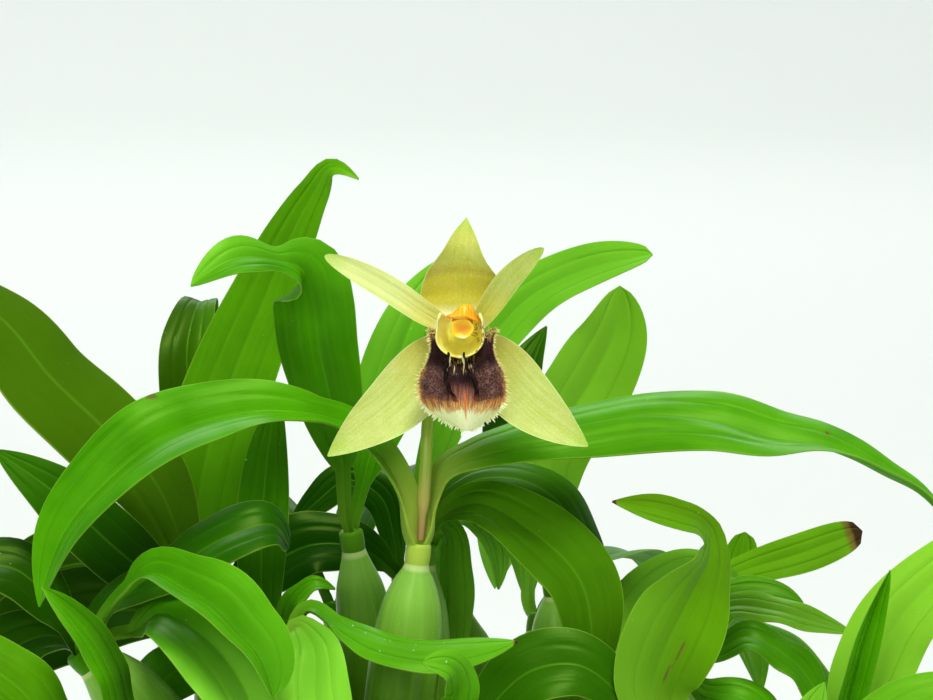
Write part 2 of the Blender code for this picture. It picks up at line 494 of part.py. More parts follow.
def turned(name, profile, mat, collection, steps=TURNED_STEPS):
    """A round body from a profile of (radius, height), closed at the axis."""
    verts = [(radius, 0, height) for radius, height in profile]
    edges = [(i, i + 1) for i in range(len(profile) - 1)]
    mesh = bpy.data.meshes.new(name)
    mesh.from_pydata([Vector(v) * MM for v in verts], edges, [])
    mesh.materials.append(mat)
    obj = bpy.data.objects.new(name, mesh)
    collection.objects.link(obj)
    screw = obj.modifiers.new("turn", "SCREW")
    screw.axis = "Z"
    screw.steps = steps
    screw.render_steps = steps
    screw.use_merge_vertices = True
    screw.merge_threshold = 0.00001
    screw.use_smooth_shade = True
    return obj


def tilt_to(direction):
    """The rotation that takes +Z to a direction."""
    return Vector((0, 0, 1)).rotation_difference(Vector(direction)).to_matrix().to_4x4()


def ring_drum(name, radius, length, start, direction, mat, collection, segments=BULB_STEPS):
    """A short closed cylinder that starts at a point and runs along a direction."""
    mesh = bpy.data.meshes.new(name)
    shape = bmesh.new()
    bmesh.ops.create_cone(shape, cap_ends=True, segments=segments, radius1=radius * MM,
                          radius2=radius * MM, depth=length * MM)
    bmesh.ops.translate(shape, verts=shape.verts, vec=(0, 0, length * MM / 2))
    shape.to_mesh(mesh)
    shape.free()
    mesh.materials.append(mat)
    mesh.shade_smooth()
    obj = bpy.data.objects.new(name, mesh)
    collection.objects.link(obj)
    obj.matrix_world = Matrix.Translation(Vector(start) * MM) @ tilt_to(direction)
    return obj


def tube_object(name, points, radii, mat, collection, sides=1):
    """A closed round tube along a smooth route, made a mesh with its caps welded."""
    curve = bpy.data.curves.new(name, "CURVE")
    curve.dimensions = "3D"
    curve.bevel_depth = MM
    curve.bevel_resolution = sides
    curve.use_fill_caps = True
    spline = curve.splines.new("POLY")
    spline.points.add(len(points) - 1)
    for spot, point, radius in zip(spline.points, points, radii):
        spot.co = (*(Vector(point) * MM), 1)
        spot.radius = radius
    guide = bpy.data.objects.new(name + "_guide", curve)
    collection.objects.link(guide)
    mesh = bpy.data.meshes.new_from_object(guide.evaluated_get(bpy.context.evaluated_depsgraph_get()))
    shape = bmesh.new()
    shape.from_mesh(mesh)
    bmesh.ops.remove_doubles(shape, verts=shape.verts, dist=0.00001)
    bmesh.ops.recalc_face_normals(shape, faces=shape.faces)
    shape.to_mesh(mesh)
    shape.free()
    mesh.materials.clear()
    mesh.materials.append(mat)
    mesh.shade_smooth()
    obj = bpy.data.objects.new(name, mesh)
    collection.objects.link(obj)
    obj.matrix_world = guide.matrix_world.copy()
    bpy.data.objects.remove(guide, do_unlink=True)
    return obj


def fill_hollows(mesh):
    """Keeps a mesh's largest shell, so a hollow that fusing sealed is filled and a scrap is dropped."""
    shape = bmesh.new()
    shape.from_mesh(mesh)
    left, shells = set(shape.verts), []
    while left:
        shell, edge = set(), [left.pop()]
        while edge:
            vert = edge.pop()
            shell.add(vert)
            fresh = [e.other_vert(vert) for e in vert.link_edges if e.other_vert(vert) in left]
            left.difference_update(fresh)
            edge += fresh
        shells.append(shell)
    shells.sort(key=len)
    for shell in shells[:-1]:
        bmesh.ops.delete(shape, geom=list(shell), context="VERTS")
    shape.to_mesh(mesh)
    shape.free()


def join_all(obj, pieces):
    """Unites an object with the objects of a collection, which are then removed."""
    union = obj.modifiers.new("union", "BOOLEAN")
    union.operation = "UNION"
    union.operand_type = "COLLECTION"
    union.collection = pieces
    union.solver = "MANIFOLD"
    applied(obj)
    fill_hollows(obj.data)
    for piece in list(pieces.objects):
        bpy.data.objects.remove(piece, do_unlink=True)
    return obj


def medium_side(inset):
    """The vase's inner wall from top to bottom, moved in by a distance."""
    mouth = VASE_MOUTH_RADIUS - VASE_WALL - inset
    belly = VASE_BELLY_RADIUS - VASE_WALL - inset
    foot = VASE_FOOT_RADIUS - inset
    return [(mouth - 0.3, VASE_HEIGHT - 8),
            (mouth + 2, VASE_HEIGHT - 18),
            (belly - 0.6, VASE_BELLY_HEIGHT + 8),
            (belly - 2.6, VASE_BELLY_HEIGHT - 18),
            (belly - 9.6, VASE_BELLY_HEIGHT - 38),
            (foot + 4, 22),
            (foot - 4, VASE_FLOOR + inset)]


def make_vase(parts, mat):
    """The vase: a round-bellied pot with a flat foot and a rounded rim."""
    inner = [(0, VASE_FLOOR)] + medium_side(0)[::-1]
    rim = [(VASE_MOUTH_RADIUS - VASE_WALL, VASE_HEIGHT - 3),
           (VASE_MOUTH_RADIUS - VASE_WALL + 0.7, VASE_HEIGHT - 0.8),
           (VASE_MOUTH_RADIUS - VASE_WALL / 2, VASE_HEIGHT),
           (VASE_MOUTH_RADIUS - 0.6, VASE_HEIGHT - 0.8),
           (VASE_MOUTH_RADIUS, VASE_HEIGHT - 3)]
    outer = [(VASE_MOUTH_RADIUS - 0.5, VASE_HEIGHT - 7),
             (VASE_MOUTH_RADIUS + 2.5, VASE_HEIGHT - 16),
             (VASE_BELLY_RADIUS - 1, VASE_BELLY_HEIGHT + 14),
             (VASE_BELLY_RADIUS, VASE_BELLY_HEIGHT),
             (VASE_BELLY_RADIUS - 2, VASE_BELLY_HEIGHT - 18),
             (VASE_BELLY_RADIUS - 9, VASE_BELLY_HEIGHT - 38),
             (VASE_FOOT_RADIUS + 9, 22),
             (VASE_FOOT_RADIUS + 3, 8),
             (VASE_FOOT_RADIUS + 1, 1.2),
             (VASE_FOOT_RADIUS, 0),
             (0, 0)]
    return turned("vase", inner + rim + outer, mat, parts)


def bulb_axis(spec):
    base, neck = from_crown(spec["base"]), from_crown(spec["neck"])
    return base, neck, (neck - base).normalized(), (neck - base).length


def bulb_profile(spec, length):
    """A pseudobulb's outline: a rounded base, its widest part low down, and a narrow flat neck."""
    radius = spec["thick"] / 2
    side = [(radius * share, length * height) for height, share in BULB_OUTLINE]
    return [(0, length), (BULB_TOP_RADIUS, length)] + side + [(0, 0)]


def make_bulbs(parts, cutters, mat):
    """All pseudobulbs, and for each the plain hole that it stands in."""
    for name, spec in GROWTHS.items():
        base, neck, axis, length = bulb_axis(spec)
        obj = turned("bulb_" + name, bulb_profile(spec, length), mat, parts, BULB_STEPS)
        obj.matrix_world = Matrix.Translation(base * MM) @ tilt_to(axis)
        radius = HOLE_RADIUS_SHARE * spec["thick"] / 2 + GAP
        hole = ring_drum("hole_" + name, radius, HOLE_REACH, base - axis * GAP, axis, mat, cutters)
        hole.hide_render = True
        hole.display_type = "WIRE"


def make_medium(parts, cutters, mat):
    """The growing medium: it fills the vase, rises to the crown, and has a hole for each bulb."""
    edge_height = CROWN.z - MEDIUM_EDGE_DROP
    side = medium_side(GAP)
    top = [(0, CROWN.z), (22, CROWN.z - 0.8), (40, CROWN.z - 3), (side[0][0], edge_height)]
    obj = turned("medium", top + side + [(0, VASE_FLOOR + GAP)], mat, parts)
    cut = obj.modifiers.new("holes", "BOOLEAN")
    cut.operation = "DIFFERENCE"
    cut.operand_type = "COLLECTION"
    cut.collection = cutters
    return obj


def make_leaves(parts, mat):
    """A node for each growth's two leaves, fused to the collar that sits on the bulb's flat neck."""
    for name, spec in GROWTHS.items():
        base, neck, axis, length = bulb_axis(spec)
        pieces = new_collection("leaves_to_join")
        height = MAIN_COLLAR if name == MAIN_GROWTH else COLLAR
        collar = ring_drum("leaves_" + name, BULB_TOP_RADIUS, height, neck + axis * GAP, axis, mat, parts)
        root = neck + axis * ROOT_DEPTH - CROWN
        for number, blade in enumerate(spec["leaves"]):
            rooted = dict(blade, route=[tuple(root)] + blade["route"])
            sheet_object("blade_%d" % number, leaf_rows(rooted), BLADE_THICK, mat, pieces, CROWN)
        join_all(collar, pieces)
        bpy.data.collections.remove(pieces)


def make_tepals(parts, mat):
    centre = from_crown(FLOWER_CENTRE)
    for name, spec in SEPALS.items():
        sheet_object(name, tepal_rows(spec), BLADE_THICK, mat, parts, centre)
    before = centre - Vector((0, PETAL_FORWARD, 0))
    for name, spec in PETALS.items():
        sheet_object(name, tepal_rows(spec), BLADE_THICK, mat, parts, before)


def lip_rows():
    """The fringed plate: rows from its top corners to its tip, with two keels and a toothed margin."""
    midline = smooth_route([(0, -forward, -down) for forward, down in LIP_MIDLINE], LIP_ROWS)
    rows = []
    for i in range(LIP_ROWS):
        u = i / (LIP_ROWS - 1)
        half = at_share(LIP_HALF_WIDTHS, u)
        tooth = LIP_TOOTH if i % 2 else 0
        row = []
        for w in LIP_ACROSS:
            x = (half - tooth * (abs(w) == 1)) * w
            back = LIP_MARGIN_BACK * abs(w) ** 2.2 * min(1, half / 4)
            keel = KEEL_HEIGHT if abs(w) == KEEL_AT and KEEL_SPAN[0] < u < KEEL_SPAN[1] else 0
            notch = LIP_NOTCH * (1 - w * w) * (1 - u) ** 3
            row.append(midline[i] + np.array((x, back - keel, -notch)))
        rows.append(row)
    return rows


def throat_rows():
    """The lip's side lobes: a trough round the column, open above, that runs out onto the plate."""
    rows = []
    for forward, radius, rise in THROAT_SECTIONS:
        row = []
        for k in range(THROAT_POINTS):
            across = 2 * k / (THROAT_POINTS - 1) - 1
            angle = math.radians(90 * max(-1, min(1, across / FLOOR_SHARE)))
            up = max(0, (abs(across) - FLOOR_SHARE) / (1 - FLOOR_SHARE))
            x = radius * math.sin(angle) * (1 - LOBE_LEAN * up)
            row.append(np.array((x, -forward, rise + radius * (LOBE_HEIGHT * up - math.cos(angle)))))
        rows.append(row)
    return rows


def make_lip(parts, mat):
    centre = from_crown(FLOWER_CENTRE)
    pieces = new_collection("lip_to_join")
    plate = sheet_object("lip", lip_rows(), BLADE_THICK, mat, parts, centre)
    applied(plate)
    sheet_object("throat", throat_rows(), BLADE_THICK, mat, pieces, centre)
    join_all(plate, pieces)
    bpy.data.collections.remove(pieces)


def make_column(parts, mat):
    centre = from_crown(FLOWER_CENTRE)
    points = [centre + Vector((x, -forward, up)) for x, forward, up in COLUMN_ROUTE]
    tube_object("column", points, COLUMN_RADII, mat, parts)


def make_stalk(parts, mat):
    """The flower stalk with the ovary, and the knob at its end that the flower's pieces meet."""
    points = [from_crown(p) for p in smooth_route(STALK_ROUTE, STALK_STATIONS)]
    stalk = tube_object("flower_stalk", points, [STALK_RADIUS] * len(points), mat, parts)
    pieces = new_collection("stalk_to_join")
    centre = from_crown(FLOWER_CENTRE)
    ring_drum("knob", KNOB_RADIUS, KNOB_LENGTH, centre + Vector((0, 1.4, 0)), (0, -1, 0), mat, pieces)
    join_all(stalk, pieces)
    bpy.data.collections.remove(pieces)


def main():
    clear_scene()
    parts = new_collection("coelogyne orchid in vase")
    cutters = new_collection("cutters")
    leaf_green = material("leaf green", (0.07, 0.30, 0.01), 0.35)
    bulb_green = material("bulb green", (0.22, 0.45, 0.06), 0.4)
    tepal_yellow = material("tepal yellow green", (0.72, 0.70, 0.22), 0.5)
    lip_brown = material("lip brown", (0.07, 0.015, 0.012), 0.6)
    column_orange = material("column orange", (0.9, 0.42, 0.05), 0.45)
    stalk_green = material("stalk green", (0.30, 0.36, 0.08), 0.45)
    bark_brown = material("bark brown", (0.09, 0.05, 0.03), 0.9)
    glaze_white = material("glazed white", (0.85, 0.84, 0.80), 0.2, coat=0.5)

    make_vase(parts, glaze_white)
    make_bulbs(parts, cutters, bulb_green)
    make_medium(parts, cutters, bark_brown)
    make_leaves(parts, leaf_green)
    make_stalk(parts, stalk_green)
    make_tepals(parts, tepal_yellow)
    make_lip(parts, lip_brown)
    make_column(parts, column_orange)


main()
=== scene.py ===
"""The look of a potted coelogyne orchid in flower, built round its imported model.

Lengths in the tables are millimetres, as in the part's source, and the meshes are made in metres.
Each piece follows the same routes and widths as the solid that it stands for, with finer rows,
nerves, waves and fringes of its own.
"""

import math

import bmesh
import bpy
import numpy as np
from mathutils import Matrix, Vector


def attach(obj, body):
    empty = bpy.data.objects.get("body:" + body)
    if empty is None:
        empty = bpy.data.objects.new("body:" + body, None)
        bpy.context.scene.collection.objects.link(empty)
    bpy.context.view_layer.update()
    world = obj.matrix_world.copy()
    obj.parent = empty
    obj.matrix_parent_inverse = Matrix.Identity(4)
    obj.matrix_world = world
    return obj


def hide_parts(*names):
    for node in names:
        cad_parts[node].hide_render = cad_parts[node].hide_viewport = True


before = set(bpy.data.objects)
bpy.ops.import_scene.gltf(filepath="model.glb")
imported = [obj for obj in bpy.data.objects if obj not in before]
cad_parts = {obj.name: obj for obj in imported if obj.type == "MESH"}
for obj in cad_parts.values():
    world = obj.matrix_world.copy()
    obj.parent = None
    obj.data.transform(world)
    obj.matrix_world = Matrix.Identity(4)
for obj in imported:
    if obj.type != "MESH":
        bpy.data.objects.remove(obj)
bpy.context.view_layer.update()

MM = 0.001
# Where a turned body closes on its axis, and the turn that the random phases are drawn from.
AXIS_RADIUS = 0.05
FULL_TURN = 6.28
# How far the medium stands off the vase's wall.
GAP = 0.3

VASE_HEIGHT = 128
VASE_MOUTH_RADIUS = 60
VASE_BELLY_RADIUS = 68
VASE_BELLY_HEIGHT = 0.62 * VASE_HEIGHT
VASE_FOOT_RADIUS = 42
VASE_WALL = 4.5
VASE_FLOOR = 7

# The middle of the medium's top: the plant's points are measured from it.
CROWN = np.array((0.0, 0.0, VASE_HEIGHT + 4.0))
MEDIUM_EDGE_DROP = 6
BULB_TOP_RADIUS = 2.2

# A pseudobulb's outline from its neck down: (share of its length, share of its radius). Its neck's
# radius is BULB_TOP_RADIUS.
BULB_OUTLINE = [(0.93, 0.55), (0.84, 0.78), (0.7, 0.94), (0.48, 1.0), (0.25, 0.96), (0.1, 0.8), (0, 0.55)]

# How far over its growth's neck a leaf starts, its stalk's fold in degrees and its tip's width.
ROOT_DEPTH = 1.2
STALK_FOLD = 48
TIP_WIDTH = 1.0

# Where the tepals, the lip and the column meet, and how much further forward the petals start.
FLOWER_CENTRE = CROWN + (-0.8, -18, 84)
PETAL_FORWARD = 2.2


def points(text):
    """The points that a text gives as x y z, x y z."""
    return [tuple(float(number) for number in point.split()) for point in text.split(", ")]


def leaf(route, faces, width, fold, stalk, swell=0.9, taper=0.95, stalk_width=3.2, pinch=None):
    """One leaf: its midrib's points, the ways its upper side faces from base to tip, its full width.

    fold is how far each half rises from flat in degrees, stalk is the stalk's share of the length,
    swell and taper shape its outline towards the base and the tip, and pinch is where, how much
    and over what share the blade is drawn in.
    """
    return dict(route=points(route), width=width, faces=points(faces), fold=fold, stalk=stalk, swell=swell,
                taper=taper, stalk_width=stalk_width, pinch=pinch)


def growth(ends, thick, leaves):
    """One pseudobulb, from its base in the medium to its neck, with the leaves that it bears."""
    base, neck = np.array(points(ends))
    return dict(base=base, neck=neck, thick=thick, leaves=leaves)


# The growths, front middle first, then the left side, the right side and the back.
GROWTHS = {
    "01": growth("-14 -13 -1, -9 -15 41", 13, [
        leaf("-10.6 -15 46, -11.6 -14.5 53, -14.3 -14 59, -20.5 -13 65.5, -33 -16 69, -46 -20 68, "
             "-55 -25 65, -63 -28 59, -71 -30 50, -76 -30 36",
             "0.6 -0.8 0.2, 0.3 -0.7 0.6, 0 -0.6 0.8, -0.1 -0.65 0.75, -0.5 -0.7 0.5, -0.6 -0.7 0.2",
             17, 22, 0.33, swell=0.85, stalk_width=6.6),
        leaf("-6.9 -15 46, -6.4 -14.5 52, -4.4 -13 57.5, 1 -11 61, 8 -9.5 63, 20 -8 65, 33 -8 67, "
             "45 -9 66, 56 -10 63, 64 -11 62, 70 -12 60, 76 -13 57, 82 -14 54, 87 -15 49, 91 -16 43",
             "-0.7 -0.7 0.3, -0.4 -0.6 0.6, -0.1 -0.6 0.8, 0 -0.62 0.79, 0 -0.62 0.79, 0 -0.5 0.86, "
             "0.1 -0.2 0.95, 0.45 0 0.9, 0.6 0.1 0.8",
             15.5, [-16, -16, -16, -10, 16, 20, 18], 0.12, taper=1, stalk_width=4)]),
    "02": growth("-15 8 -1, -21 3 40", 11, [
        leaf("-22 3 44, -23 2 57, -25 -1 69, -27 -3 79, -28 -5 88, -29.5 -8 93.5, -34 -13 96, "
             "-41 -18 97, -49 -22 92.5", "0 -1 0.1, -0.1 -1 0.1, -0.1 -1 0.2, 0 -0.8 0.6, -0.1 -0.8 0.6",
             15.5, 14, 0.18, swell=0.7, taper=0.8, pinch=(0.77, 0.55, 0.07)),
        leaf("-21 4 44, -19 6 53, -14 11 71, -9 14 84, -3 15 94", "-0.2 -1 0.1, 0.1 -1 0.2, 0.2 -1 0.3",
             14, 22, 0.2)]),
    "03": growth("-37 21 -6, -48 20 17", 12, [
        leaf("-49 20 20, -52 20 35, -51 19 45, -49 18 56, -45 17 68, -38 16 85, -32.5 15 98, "
             "-28.5 14 105.5, -25 12 110.5, -20 10 108.5", "0 -1 0.1, 0 -1 0.15, 0 -1 0.3, 0.1 -0.9 0.4",
             17.5, 12, 0.06, swell=0.5),
        leaf("-49 22 20, -52 30 33, -53 36 57, -54 38 74, -52 46 81, -50 54 74",
             "0 -1 0.2, 0 -0.9 0.4, 0 0.1 1", 12, 15, 0.15),
        leaf("-50 21 20, -58 24 28, -70 25 33, -84 24 30, -95 22 20",
             "-0.2 -0.8 0.6, 0 -0.8 0.6, -0.3 -0.8 0.5", 17, 8, 0.12)]),
    "04": growth("-44 8 -6, -46 5 21", 12, [
        leaf("-47 5 24, -52 4 38, -58 0 54, -68 -2 65, -76 -3 73, -85 -3 84, -94 -4 90, -103 -6 90",
             "0.3 -1 0.4, 0.2 -0.9 0.5, 0.1 -0.75 0.75, -0.2 -0.6 0.8", 19, -10, 0.14),
        leaf("-48 4 24, -55 -3 33, -65 -8 43, -75 -10 53, -86 -10 61",
             "0.2 -1 0.3, 0.1 -0.9 0.5, 0 -0.9 0.5", 13, 5, 0.15),
        leaf("-48 6 24, -58 8 27, -72 10 26, -86 10 20, -97 10 9",
             "-0.2 -0.8 0.6, -0.1 -0.8 0.6, -0.4 -0.8 0.5", 20, 8, 0.12)]),
    "05": growth("-43 -20 -5, -65 -24 26", 12, [
        leaf("-66 -25 29, -62 -27 37, -55 -30 42, -50 -33 40, -44 -36 37, -40 -38 33, -37 -39 30, "
             "-35 -40 26, -34 -40 22",
             "-0.6 -0.6 0.5, -0.3 -0.5 0.8, 0.2 -0.7 0.7, 0.4 -0.7 0.6, 0.6 -0.6 0.4",
             16, 40, 0.28, swell=0.8, taper=0.6),
        leaf("-64 -24 29, -60 -23 30, -55 -26 34, -47 -31 31, -41 -34 25, -37 -37 16, -35 -38 4",
             "-0.3 -0.6 0.7, 0 -0.6 0.8, 0.3 -0.8 0.6, 0.4 -0.9 0.3", 19, 12, 0.12)]),
    "06": growth("-35 -31 -5, -57 -35 9", 11, [
        leaf("-58 -35 12, -61 -34 18, -63 -37 26, -67 -40 34, -74 -42 42",
             "0.4 -1 0.3, 0.5 -0.8 0.4, 0.5 -0.8 0.4", 7.5, 10, 0.12),
        leaf("-59 -35 11, -72 -36 15, -80 -38 24, -89 -38 29, -99 -38 27",
             "0.3 -0.8 0.6, 0 -0.7 0.8, -0.3 -0.6 0.8", 14, 5, 0.15)]),
    "07": growth("-28 -16 -6, -32 -18 24", 12, [
        leaf("-32 -19 27, -31 -19 30, -28 -23 28, -27 -28 20, -26 -31 10, -27 -32 -1",
             "0 -0.6 0.8, 0 -0.8 0.6, 0.1 -1 0.2", 13, 12, 0.12),
        leaf("-32 -17 27, -29 -17 33, -21 -22 30, -12 -27 28, -2 -29 28, 9 -31 30",
             "0.3 -0.6 0.8, 0 -0.4 0.9, 0 -0.6 0.8", 10, -15, 0.3)]),
    "08": growth("-46 -6 -5, -69 -12 21", 11, [
        leaf("-70 -13 24, -66 -16 33, -57 -20 39, -52 -21 41, -47 -22 45, -41 -22 48, -35 -20 49, "
             "-32 -16 44", "-0.4 -0.8 0.5, -0.1 -0.6 0.8, 0 -0.56 0.83, 0.3 -0.6 0.7",
             13, 4, 0.14, taper=0.6),
        leaf("-71 -12 24, -75 -10 31, -83 -10 39, -92 -12 39, -100 -14 29",
             "0.2 -0.9 0.4, 0 -0.7 0.8, -0.5 -0.5 0.7", 13, 5, 0.15),
        leaf("-71 -10.5 24, -76 -8 26, -84 -6 23, -92 -6 15, -97 -6 4",
             "-0.2 -0.8 0.6, -0.1 -0.8 0.6, -0.4 -0.8 0.5", 15, 8, 0.12)]),
    "09": growth("-8 -33 -6, -6 -36 9", 8, [
        leaf("-6 -36 12, -3.2 -38 17, -1.2 -41 24, -2.8 -44 28.2, -7.6 -46 29.4",
             "0.2 -1 0.2, 0.3 -0.9 0.3, 0 -0.8 0.6", 7, 12, 0.1, taper=0.7),
        leaf("-7 -37 11, -12 -40 16, -18 -44 14, -24 -46 5", "-0.2 -0.9 0.4, -0.2 -0.6 0.8, -0.5 -0.7 0.4",
             8, 20, 0.12)]),
    "10": growth("-9 -2 -5, -8 -1 38", 11, [
        leaf("-8 0 41, -5 1 49, 1 2 53, 10 4 53, 17 3 49, 21 2 42, 23 1 34, 23 -1 24",
             "-0.5 -0.8 0.4, 0 -0.6 0.8, 0.3 -0.6 0.8, 0.5 -0.8 0.3", 13, -8, 0.16),
        leaf("-8 -2 41, -5 -3 47, 1 -4 50, 12 -6 45, 21 -8 36, 23 -10 26, 22 -11 15",
             "-0.4 -0.8 0.4, 0.2 -0.8 0.6, 0.3 -0.9 0.4, 0.3 -1 0.1", 15, 10, 0.16),
        leaf("-7 0 41, -5 1.2 45, -3.2 2.8 43.5, -2.2 4.3 35, -2 5 26, -2 6 15",
             "0 -1 0.4, 0.3 -0.9 0.5, 0.3 -1 0.1, 0.2 -1 0", 7, 10, 0.12)]),
    "11": growth("5 15 -6, -1 15 25", 11, [
        leaf("-2 14 31, -4 11 35, -5 9 43, -1 8 46, 4 7 43, 6 6 37, 6 5 32",
             "-0.2 -1 0.3, 0 -0.7 0.7, 0.5 -0.7 0.5", 7, 15, 0.16),
        leaf("-2 16 31, -3 16 30, -4 15 36, -4 14 44", "0 -1 0.3, 0.2 -0.8 0.6, 0.3 -1 0.1",
             7.5, 15, 0.16)]),
    "12": growth("20 27 -6, 17 25 27", 12, [
        leaf("17 25 30, 16 25 41, 17 25 56, 24 25 69, 28 24 78, 29 22 87",
             "-0.2 -1 0.2, 0 -1 0.2, 0.1 -1 0.2", 17, 14, 0.14, taper=0.65),
        leaf("16 26 30, 12 34 42, 9 48 55, 11 57 65, 16 62 74", "0 -1 0.5, 0 -0.7 0.8, 0 -0.7 0.8",
             12, 10, 0.14)]),
    "13": growth("-8 36 -6, -12 33 26", 12, [
        leaf("-11 34 29, -7 37 49, 2 40 70, 12 42 82, 24 42 88, 36 40 91",
             "-0.3 -1 0.2, -0.1 -0.9 0.4, 0 -0.7 0.7", 11.5, 16, 0.14, taper=0.5),
        leaf("-13 34 29, -14 36 35, -17 38 44, -23 38 47, -29 37 43, -35 36 37",
             "0.1 -1 0.3, 0 -0.8 0.5, -0.2 -0.8 0.5", 8, 10, 0.14),
        leaf("-13 31 29, -20 29 35, -30 28 36, -40 27 30, -47 27 21",
             "-0.1 -0.9 0.5, 0 -0.8 0.6, -0.4 -0.8 0.5", 14, 10, 0.14)]),
    "14": growth("18 -16 -6, 31 -18 8", 11, [
        leaf("32 -18 11, 33 -18 10, 34 -18 20, 37 -18 28, 41 -17 36, 44 -17 43, 44 -17 46, 42 -19 49, "
             "38 -22 51, 32 -25 53, 26 -27 54.5",
             "0.1 -1 0.2, 0.1 -1 0.2, 0.3 -1 0.2, 0.8 -0.8 0.3, 0.3 -0.7 0.7, 0.1 -0.8 0.6",
             19, 10, 0.1, swell=0.55, taper=1.0, pinch=(0.68, 0.6, 0.16)),
        leaf("31 -17 11, 29 -8 14, 29 3 23, 34 7 31, 42 8 36, 51 8 34", "0 -1 0.2, 0 -0.8 0.6, 0.1 -0.7 0.8",
             11, 8, 0.14),
        leaf("30 -18.5 11, 27 -19 18, 20 -19 23, 12 -19 22, 5 -19 16, 0 -19 8",
             "0.3 -0.8 0.5, 0 -0.8 0.6, -0.4 -0.8 0.5", 14, 8, 0.12)]),
    "15": growth("33 28 -6, 37 30 17", 11, [
        leaf("38 30 20, 41 30 24, 52 30 30, 64 29 34, 76 27 39", "-0.2 -0.8 0.6, -0.1 -0.9 0.5, -0.1 -1 0.4",
             8, 5, 0.14, swell=1, taper=0.4),
        leaf("38 31 20, 47 38 19, 53 44 27, 55 47 35", "0 -0.8 0.4, 0 -0.9 0.4, 0 -0.9 0.4",
             8, 10, 0.14, taper=0.5)]),
    "16": growth("33 11 -6, 42 11 18", 11, [
        leaf("43 10 21, 49 8 28, 57 6 28, 65 5 26, 72 4 24", "-0.3 -0.8 0.6, 0.1 -0.6 0.8, 0.2 -0.7 0.7",
             7, 5, 0.14),
        leaf("43 12 21, 48 16 28, 53 18 29, 59 18 29, 64 17 27", "-0.3 -0.8 0.6, 0.1 -0.6 0.8, 0.6 -0.6 0.5",
             7, 5, 0.14)]),
    "17": growth("32 -4 -6, 39 -2 15", 11, [
        leaf("40 -2 18, 47 -2 22, 52 -4 25, 57 -5 23, 62 -6 19, 65 -8 14, 68 -9 6",
             "-0.3 -0.8 0.6, 0.2 -0.6 0.8, 0.6 -0.7 0.3", 8, 5, 0.14),
        leaf("40 -3 17, 44 -5 15, 51 -7 14, 56 -8 9, 61 -8 1", "-0.3 -0.8 0.6, 0.2 -0.7 0.7, 0.5 -0.8 0.3",
             9, 5, 0.14)]),
    "18": growth("40 -15 -6, 53 -18 6", 11, [
        leaf("55 -18 8, 69 -20 9, 73 -22 22, 77 -22 31, 84 -22 39, 93 -22 46, 104 -22 47",
             "-0.2 -0.6 0.8, -0.3 -1 0.2, -0.2 -1 0.3, 0 -0.8 0.6, 0.1 -0.6 0.8", 15, 8, 0.16, swell=0.6),
        leaf("55 -19 8, 66 -26 10, 69 -29 21, 71 -30 30, 73 -31 37, 75 -32 43",
             "-0.2 -0.6 0.8, 0 -1 0.1, 0.2 -1 0.1", 8, 50, 0.2)]),
    "19": growth("36 -30 -6, 47 -34 5", 9, [
        leaf("49 -35 7, 58 -36 12, 61 -37 19, 63 -38 24", "-0.3 -0.8 0.6, 0 -0.9 0.5, 0 -0.8 0.6",
             7, 10, 0.2),
        leaf("49 -36 6, 62 -40 7, 74 -40 17, 84 -40 22, 96 -40 21",
             "-0.2 -0.5 0.8, -0.3 -0.8 0.6, 0 -0.7 0.7, 0.3 -0.6 0.7", 13, 5, 0.2)]),
    "20": growth("-31 -2 -6, -36 -4 15", 11, [
        leaf("-36 -5 18, -33 -6 26, -31 -9 33, -28 -10 36, -24 -9 35",
             "0 -0.9 0.4, 0.1 -0.5 0.8, 0.3 -0.5 0.8", 6, 15, 0.12),
        leaf("-36 -3 18, -38 2 31, -38 5 45, -37 7 58, -35 8 69", "0 -1 0.2, 0 -1 0.2, 0 -1 0.1",
             10, 12, 0.14),
        leaf("-38 -4 18, -45 -4 21, -53 -2.5 18.5, -60 0 13, -64 1.5 5",
             "-0.2 -0.9 0.4, -0.2 -0.95 0.25, -0.5 -0.8 0.3", 11, 8, 0.14)]),
    "21": growth("-20 38 -6, -26 43 18", 11, [
        leaf("-27 44 21, -34 54 32, -44 67 38, -54 80 34, -60 90 22", "0 0.5 0.8, -0.3 0.3 1, -0.5 0.5 0.8",
             14, 12, 0.14),
        leaf("-25 45 21, -22 56 34, -16 70 42, -10 85 40, -6 98 28", "0 0.5 0.8, 0 0.3 1, 0.1 0.8 0.6",
             15, 12, 0.14)]),
    "22": growth("11 43 -6, 14 50 14", 11, [
        leaf("15 52 17, 22 62 24, 32 75 25, 42 88 17, 47 97 5", "0.2 0.4 0.9, 0.2 0.3 1, 0.5 0.7 0.6",
             14, 12, 0.14),
        leaf("13 53 17, 13 64 27, 11 79 31, 8 94 25, 6 105 12", "-0.2 0.4 0.9, -0.1 0.3 1, -0.2 0.9 0.5",
             14, 12, 0.14)]),
    "23": growth("29 40 -6, 37 46 10", 10, [
        leaf("39 47 12, 49 54 16, 62 60 11, 72 64 0, 77 66 -14", "0 0.2 0.9, 0.2 0.2 0.9, 0.7 0.5 0.4",
             12, 12, 0.14),
        leaf("38 49 12, 44 60 18, 51 73 16, 58 85 6, 62 92 -8", "-0.1 0.2 0.9, 0.2 0.3 0.9, 0.5 0.8 0.4",
             12, 12, 0.14)]),
    "24": growth("-33 32.5 -5, -45 42 12", 11, [
        leaf("-47 43 15, -60 50 24, -75 56 26, -90 61 18, -99 64 4",
             "0 -0.2 0.9, -0.2 0.1 0.9, -0.7 0.3 0.5", 15, 12, 0.14),
        leaf("-47 45 14, -56 58 21, -66 73 21, -76 86 11, -82 94 -3",
             "0.1 0.2 0.9, -0.2 0.3 0.9, -0.5 0.8 0.4", 14, 12, 0.14)]),
}

